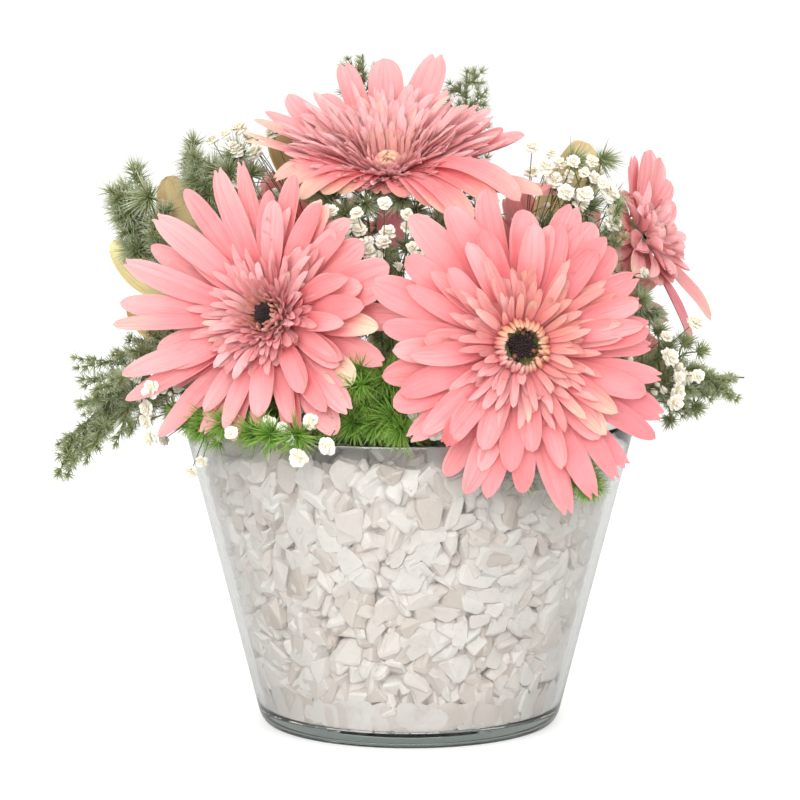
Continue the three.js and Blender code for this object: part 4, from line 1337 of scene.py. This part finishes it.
def makeFern(name, spec, seed):
    f, rng = fernForm, np.random.default_rng(seed)
    via, tip = (np.array(spec[key]) * mm for key in ("via", "tip"))
    stem = smoothPath(stemPoints(spec["exit"], via, tip), 60)
    lines = [(stem, f["stem"], 0.4 * f["stem"])]
    places, aims, sizes, tones = [], [], [], []
    length = f["needleLength"] * spec.get("needle", 1.0)
    spread, low = spec["spread"] * mm, spec.get("low", f["low"])

    def addTuft(place, aim, size, tone):
        if clearOfVase(place, 0.45 * size):
            for values, value in ((places, place), (aims, aim), (sizes, size), (tones, tone)):
                values.append(value)

    def addTufts(line, size):
        run = np.linalg.norm(np.diff(line, axis=0), axis=1).sum()
        for t in np.linspace(0.2, 1.0, max(3, int(run / f["tuftsApart"]))):
            at = t * (len(line) - 1)
            k = min(int(at), len(line) - 2)
            along = unit(line[k + 1] - line[k])
            out = unit(np.cross(along, rng.normal(size=3)))
            place = line[k] + (line[k + 1] - line[k]) * (at - k)
            aim = along if t > 0.98 else 0.9 * along + out
            addTuft(place, aim, size * length * (1.05 - 0.25 * t), rng.uniform(0.1, 0.5) + 0.45 * t)

    def addBranch(line, thickness, size):
        if all(clearOfVase(point, 0.8 * mm) for point in line[2:]):
            lines.append((line, thickness, thickness * 0.5))
            addTufts(line, size)
            return True
        return False

    for k in range(f["branches"]):
        share = low + (0.98 - low) * (k + 0.5) / f["branches"]
        at = share * (len(stem) - 1)
        node = int(at)
        along = unit(stem[node + 1] - stem[node])
        side = unit(np.cross(along, [0, 0, 1]))
        up = np.cross(side, along)
        turn = (0 if k % 2 else math.pi) + rng.uniform(-0.85, 0.85)
        out = side * math.cos(turn) + up * math.sin(turn)
        reach = spread * (1.02 - 1.1 * abs(share - 0.7)) * rng.uniform(0.7, 1.0)
        aim = unit(out + f["sweep"] * along)
        start = stem[node] + (stem[node + 1] - stem[node]) * (at - node)
        bow = unit(along + rng.normal(size=3) * 0.3)
        steps = np.linspace(0, 1, 9)
        branch = np.array([start + aim * reach * t + bow * reach * f["bow"] * t * t for t in steps])
        if not addBranch(branch, f["twig"] * 1.4, 1.0):
            continue
        for split in (3, 5):
            aimed = unit(branch[split + 1] - branch[split])
            off = unit(np.cross(aimed, up)) * (1 if split == 3 else -1)
            way = (aimed * 0.75 + off * 0.75) * reach * f["splitReach"]
            twig = np.array([branch[split] + way * t for t in np.linspace(0, 1, 5)])
            addBranch(twig, f["twig"], 0.9)
    for star in spec.get("stars", []):
        end = np.array(star) * mm
        nearest = np.argmin(np.linalg.norm(stem - end, axis=1))
        start = stem[min(40 + int(rng.integers(0, 12)), nearest)]
        middle = (start + end) / 2 + [0, 0, 3 * mm]
        lines.append((smoothPath([start, middle, end], 10), f["twig"] * 1.6, f["twig"]))
        outward = unit([end[0], end[1], 0.0])
        for k in range(f["starTufts"]):
            aim = unit(unit(rng.normal(size=3)) + 0.7 * outward + 0.5 * unit(end - start))
            size = length * spec.get("thick", 1.0) * rng.uniform(0.95, 1.25)
            addTuft(end - aim * 0.8 * mm * k * 0.3, aim, size, rng.uniform(0.3, 0.9))
    addTufts(stem[-22:], 0.95)
    material = brightFern if spec.get("fresh") else greyFern
    layers = {"aim": aims, "size": sizes, "tone": tones}
    needles = scatter(name + "Needles", places, layers, tuftShapes, 0.85, 1.15, seed, material)
    return joinPieces(name, [sweepLines(name, lines, material, 5), needles])


for index, (place, spec) in enumerate(ferns.items()):
    finishPiece(makeFern(pieceName(place, "Fern"), spec, 11 + index), "fern_green", place + "_fern")
print("ferns made")


leaves = {
    "left_upper": {
        "exit": (-32, 19), "via": (-78.6, 24.4, 166), "tip": (-96.9, 22, 208), "width": 19, "blade": 48,
        "tone": 0.7, "lean": -13, "short": 5,
    },
    "left_middle": {
        "exit": (-36, 7), "via": (-88.9, 15.2, 156), "tip": (-115.5, 15.7, 186), "width": 12,
        "blade": 42, "tone": 1.1, "lean": 6, "short": 6,
    },
    "left_lower": {
        "exit": (-38, -2), "via": (-80, 8, 140), "tip": (-112, 16, 160), "width": 14, "blade": 42,
        "tone": 0.45, "short": 7,
    },
    "top_left": {
        "exit": (-22, 14), "via": (-59.4, 28.2, 184), "tip": (-79.3, 28.8, 220), "width": 14,
        "blade": 42, "tone": 0.2, "lean": 12, "short": 12,
    },
    "top_back": {
        "exit": (-12, 21), "via": (-36, 42, 192), "tip": (-54, 44, 229), "width": 14, "blade": 44,
        "tone": 0.2, "short": 6,
    },
    "right_upper": {
        "exit": (27, 14), "via": (52.3, 38.4, 182), "tip": (71.4, 44.7, 217), "width": 24, "blade": 54,
        "tone": 0.6, "lean": -8, "short": 1,
    },
    "right_lower": {
        "exit": (37, 9), "via": (74.3, 9.2, 130), "tip": (98.5, 2.5, 139), "width": 13, "blade": 32,
        "tone": 0.4,
    },
}
leafForm = {
    "stalk": 1.1 * mm, "thick": 0.6 * mm, "inBlade": 6 * mm, "wave": 0.045, "rows": 26, "columns": 15,
}


def makeLeaf(name, spec, seed):
    rng = np.random.default_rng(seed)
    via, tip = (np.array(spec[key]) * mm for key in ("via", "tip"))
    rows, columns = leafForm["rows"], leafForm["columns"]
    length = (spec["blade"] - spec.get("short", 0)) * mm
    along = unit(tip - via)
    foot = tip - along * spec["blade"] * mm
    outward = unit([tip[0], tip[1], 0.0])
    side = unit(np.cross(along, 0.4 * outward + [0, -1, 0.15] if tip[1] < 60 * mm else outward))
    basis = np.array([along, side, np.cross(side, along)])
    points, shape = bladePoints(
        length, spec["width"] * mm, spec.get("lean", 0), rows=rows, columns=columns, bend=14,
        curl=rng.uniform(-34, 10), cup=rng.uniform(0.16, 0.34), twist=rng.uniform(-16, 16), groove=-0.02,
        wave=leafForm["wave"], wavePhase=rng.uniform(0, 6), thick=leafForm["thick"], base=0.3, widest=0.55,
        point=2.0)
    shape[:, 2] = rng.random()
    faces, rim = bladeGrid(rows, columns)
    blade = Sheaf()
    blade.add(foot + points @ basis, faces, shape, (spec["tone"], 0, 0), rim)
    line = smoothPath(stemPoints(spec["exit"], foot, foot + along * leafForm["inBlade"]), 40)
    thick = leafForm["stalk"]
    stalk = sweepLines(name + "Stalk", [(line, thick, thick * 0.5)], leafMaterial, 8)
    for label in ("petalShape", "petalTint"):
        stalk.data.attributes.new(label, "FLOAT_VECTOR", "POINT")
    return joinPieces(name, [blade.toObject(name, leafMaterial), stalk])


for index, (place, spec) in enumerate(leaves.items()):
    finishPiece(makeLeaf(pieceName(place, "Leaf"), spec, 21 + index), "tan_leaf", place + "_leaf")
print("leaves made")


babysBreath = {
    "left_low": {
        "exit": (-28, -22), "via": (-77.5, -34.2, 131.6), "crown": (-96.7, -48.9, 127), "spread": 13,
        "more": [(-75, -57, 107), (-78, -52, 118), (-79, -56, 103)],
    },
    "front_left": {
        "exit": (-9, -26), "via": (-22.9, -46.6, 124), "crown": (-35.5, -60.6, 128), "spread": 13,
        "more": [
            (-63, -84, 121), (-50, -78, 124), (-45, -80, 122), (-42, -84, 119), (-39, -90, 113),
            (-29, -90, 117), (-35, -78, 124),
        ],
    },
    "middle": {
        "exit": (-2, -17), "via": (-8, -32, 160), "crown": (-20, -44, 184), "spread": 17,
        "more": [
            (-28, -52, 197), (-34, -50, 198), (-9, -54, 200), (-19, -46, 196), (-23, -46, 190),
            (-18, -42, 189), (-15, -42, 185), (-15, -44, 181), (-12, -42, 179), (1, -54, 184),
            (-1, -44, 195), (4, -44, 179), (-20, -40, 192), (-8, -38, 188), (0, -38, 190),
        ],
    },
    "right_high": {
        "exit": (19, -2), "via": (43.2, -9.4, 168), "crown": (58.5, -15.6, 202), "spread": 19,
        "more": [
            (60, -24, 213), (64, -26, 209), (57, -30, 202), (64, -28, 201), (71, -24, 205),
            (74, -20, 201), (53, -24, 206), (50, -26, 211), (52, -18, 216), (45, -20, 218),
            (55, -20, 212), (75, -20, 190), (72, -24, 174), (87, -10, 171), (67, -20, 213),
            (59, -18, 208), (68, -22, 207),
        ],
    },
    "right_low": {
        "exit": (34, -10), "via": (74.5, -32.9, 129), "crown": (99, -40.6, 135), "spread": 13,
        "more": [(98, -44, 136), (105, -40, 136), (94, -36, 150), (105, -24, 154)],
    },
    "front_middle": {
        "exit": (2, -29), "via": (6, -66, 123), "crown": (7, -80, 118), "spread": 13,
    },
    "crown": {
        "exit": (-13, 5), "via": (-40.7, 14.1, 180), "crown": (-62.9, 16.5, 216), "spread": 15,
        "more": [
            (-69, 10, 221), (-64, 14, 223), (-74, 10, 219), (-66, 6, 217), (-60, 16, 219),
            (-58, 10, 214),
        ],
    },
    "back": {
        "exit": (9, 27), "via": (10, 62, 160), "crown": (6, 82, 186), "spread": 19,
    },
    "back_low": {
        "exit": (-8, 29), "via": (-6, 70, 126), "crown": (-14, 92, 122), "spread": 15,
    },
}
breathForm = {
    "blossoms": 6, "joints": 7, "stem": 0.7 * mm, "twig": 0.22 * mm, "blossom": 3.3 * mm, "aboveRim": 5 * mm,
    "belowRim": 9 * mm, "clearOfRim": 6 * mm, "sideTwigs": 2, "openShare": 0.45, "steps": 8,
    "bow": 0.08,
}


def partScatter(seed):
    # the part's own repeatable scatter from -1 to 1, so blossoms sit where its blossoms do
    wave = math.sin(seed * 127.1 + 11.7) * 43758.5453
    return 2 * (wave - math.floor(wave)) - 1


def makeBlossomShapes():
    # double blossoms of unit radius: rings of small cupped petals round a green-white heart
    shapes = []
    outline = [(0.1, 0.0), (0.72, 0.46), (1.0, 0.2), (0.97, -0.2), (0.72, -0.46)]
    for k in range(3):
        rng = np.random.default_rng(400 + k)
        blossom = bmesh.new()
        depth = blossom.verts.layers.float.new("depth")
        heart = bmesh.ops.create_icosphere(blossom, subdivisions=1, radius=0.4)["verts"]
        for vert in heart:
            vert.co.z += 0.2
            vert[depth] = 0.35
        for count, lean, size in ((6, 104, 0.9), (7, 74, 1.0), (6, 46, 1.0), (4, 18, 0.95)):
            for i in range(count):
                turn = 2 * math.pi * (i + rng.uniform(-0.3, 0.3)) / count
                aim = Vector(direction(math.radians(lean + rng.uniform(-10, 10)), turn))
                side = Vector((-math.sin(turn), math.cos(turn), 0))
                back = aim.cross(side)
                length = size * rng.uniform(0.85, 1.1)
                front = []
                for a, b in outline:
                    front.append(blossom.verts.new(aim * length * a + side * length * b - back * 0.12 * a))
                    front[-1][depth] = a
                middle = blossom.verts.new(aim * length * 0.62 + back * 0.07)
                middle[depth] = 0.6
                for j in range(5):
                    blossom.faces.new((front[j], front[(j + 1) % 5], middle))
                blossom.faces.new(front[::-1])
        bmesh.ops.recalc_face_normals(blossom, faces=blossom.faces)
        shapes.append(linkShape(f"blossomShape{k}", blossom))
    return templates("blossomShapes", shapes)


blossomShapes, budShapes = makeBlossomShapes(), makeBudShapes("breathBud", 1.35, 0.5)


def makeBreath(name, spec, seed):
    b, rng = breathForm, np.random.default_rng(seed)
    via, crown = (np.array(spec[key]) * mm for key in ("via", "crown"))
    stem = smoothPath(stemPoints(spec["exit"], via), b["steps"] * b["joints"] + 1)
    forkAt = b["steps"] * (b["joints"] - 1)
    fork = stem[forkAt]
    toCrown = unit(crown - fork)
    side = unit([-toCrown[1], toCrown[0], 0])
    other = np.cross(toCrown, side)
    lines = [(stem[:forkAt + 4], b["stem"], 0.5 * b["stem"])]
    big, small = {"place": [], "aim": [], "size": []}, {"place": [], "aim": [], "size": []}

    def addTip(kind, place, aim, size):
        place = np.clip(place, boxLow + size, boxHigh - size)
        for key, value in zip(("place", "aim", "size"), (place, aim, size)):
            kind[key].append(value)

    for i in range(b["blossoms"]):
        turn = 4 * math.pi * i / b["blossoms"] + partScatter(i + spec["exit"][0])
        ring = spec["spread"] * mm * (i + 1) / b["blossoms"]
        at = crown + (math.cos(turn) * side + math.sin(turn) * other) * ring
        outside = math.hypot(at[0], at[1]) > vase["rimRadius"] + b["clearOfRim"]
        lowest = vase["height"] + (-b["belowRim"] if outside else b["aboveRim"])
        at[2] = max(at[2], lowest)
        bow = unit(rng.normal(size=3)) * np.linalg.norm(at - fork) * b["bow"]
        steps = np.linspace(0, 1, 7)
        twig = np.array([fork + (at - fork) * t + bow * 4 * t * (1 - t) for t in steps])
        lines.append((twig, b["twig"] * 1.3, b["twig"] * 0.8))
        aim = unit(twig[-1] - twig[-2])
        addTip(big, at - 0.3 * b["blossom"] * aim, aim, b["blossom"] * rng.uniform(0.9, 1.1))
        for k in range(b["sideTwigs"]):
            start = twig[3 + k]
            out = unit(aim * 0.8 + unit(np.cross(aim, rng.normal(size=3))))
            end = start + out * rng.uniform(5, 8.5) * mm
            end[2] = max(end[2], lowest)
            middle = (start + end) / 2 + 0.3 * mm * aim
            lines.append((np.array([start, middle, end]), b["twig"], b["twig"] * 0.7))
            if rng.random() < b["openShare"]:
                addTip(big, end, unit(end - start), b["blossom"] * rng.uniform(0.55, 0.85))
            else:
                addTip(small, end, unit(end - start), b["blossom"] * rng.uniform(0.3, 0.45))
    for place in spec.get("more", []):
        at = np.array(place) * mm
        overRim = vase["height"] + b["aboveRim"]
        if at[2] < overRim:
            middle = np.array([*(unit(at[:2]) * (vase["rimRadius"] + 3 * mm)), overRim])
        else:
            middle = (fork + at) / 2 + unit(rng.normal(size=3)) * np.linalg.norm(at - fork) * b["bow"]
        twig = smoothPath([fork, middle, at], 9)
        lines.append((twig, b["twig"] * 1.3, b["twig"] * 0.8))
        aim = unit(unit(twig[-1] - twig[-2]) + [0, -0.5, 0.3])
        addTip(big, at, aim, b["blossom"] * rng.uniform(0.7, 1.15))
    pieces = [sweepLines(name, lines, greyFern, 5)]
    for kind, shapes, label in ((big, blossomShapes, "Open"), (small, budShapes, "Buds")):
        if kind["place"]:
            places = kind.pop("place")
            pieces.append(scatter(name + label, places, kind, shapes, 0.9, 1.1, seed, blossomMaterial))
    return joinPieces(name, pieces)


for index, (place, spec) in enumerate(babysBreath.items()):
    sprig = makeBreath(pieceName(place, "BabysBreath"), spec, 71 + index)
    finishPiece(sprig, "cream_blossom", place + "_babys_breath")
print("baby's breath made")


def makeFloor():
    material, tree, shader = newMaterial("paleFloor", Roughness=0.7)
    tone = noise(tree, objectCoords(tree), 3.0, 2.0)
    pale = mixed(tree, tone, rgb(206, 206, 205), rgb(212, 212, 211))
    tree.links.new(pale, shader.inputs["Base Color"])
    shader.inputs["Emission Color"].default_value = rgb(255, 255, 255)
    seen = addNode(tree, "ShaderNodeLightPath").outputs["Is Camera Ray"]
    tree.links.new(calc(tree, "MULTIPLY", seen, 0.42), shader.inputs["Emission Strength"])
    floor = bmesh.new()
    bmesh.ops.create_grid(floor, x_segments=2, y_segments=2, size=30)
    mesh = bpy.data.meshes.new("paleFloor")
    floor.to_mesh(mesh)
    floor.free()
    mesh.materials.append(material)
    link("paleFloor", mesh)


lamps = {
    "key": {"place": (-0.9, -1.5, 1.3), "size": 1.5, "power": 12},
    "fill": {"place": (1.4, -1.3, 0.8), "size": 1.4, "power": 10},
    "front": {"place": (-0.25, -2.0, 0.75), "size": 1.2, "power": 29},
    "back": {"place": (0.2, 1.4, 1.6), "size": 1.2, "power": 10},
}
lampsAimAt = (0, 0, 0.13)


def makeLamps():
    for name, spec in lamps.items():
        light = bpy.data.lights.new(name + "Lamp", "AREA")
        light.shape, light.size, light.energy = "SQUARE", spec["size"], spec["power"]
        lamp = bpy.data.objects.new(name + "Lamp", light)
        lamp.location = spec["place"]
        look = Vector(lampsAimAt) - Vector(spec["place"])
        lamp.rotation_euler = look.to_track_quat("-Z", "Y").to_euler()
        bpy.context.scene.collection.objects.link(lamp)
    world = bpy.data.worlds.new("paleStudio")
    world.use_nodes = True
    tree = world.node_tree
    height = parts(tree, addNode(tree, "ShaderNodeTexCoord").outputs["Generated"])[2]
    stops = [(0.0, (0.62, 0.61, 0.6, 1)), (0.3, (0.72, 0.71, 0.7, 1)), (0.8, (1.02, 1.01, 1.0, 1))]
    soft = ramp(tree, height, stops)
    seen = addNode(tree, "ShaderNodeLightPath").outputs["Is Camera Ray"]
    tree.links.new(mixed(tree, seen, soft, (1.0, 1.0, 1.0, 1.0)), tree.nodes["Background"].inputs["Color"])
    bpy.context.scene.world = world
    bpy.context.scene.view_settings.view_transform = "Standard"


camera = {"place": (0, -1.42163, 0.30095), "down": 0.1252, "left": 0.0025, "lens": 171.6, "sensor": 36}


def makeCamera():
    data = bpy.data.cameras.new("photoCamera")
    data.lens, data.sensor_width = camera["lens"], camera["sensor"]
    data.clip_end = 100
    obj = bpy.data.objects.new("photoCamera", data)
    obj.location = camera["place"]
    obj.rotation_euler = (math.pi / 2 - camera["down"], 0, camera["left"])
    bpy.context.scene.collection.objects.link(obj)
    bpy.context.scene.camera = obj


makeFloor()
makeLamps()
makeCamera()
print("studio made")
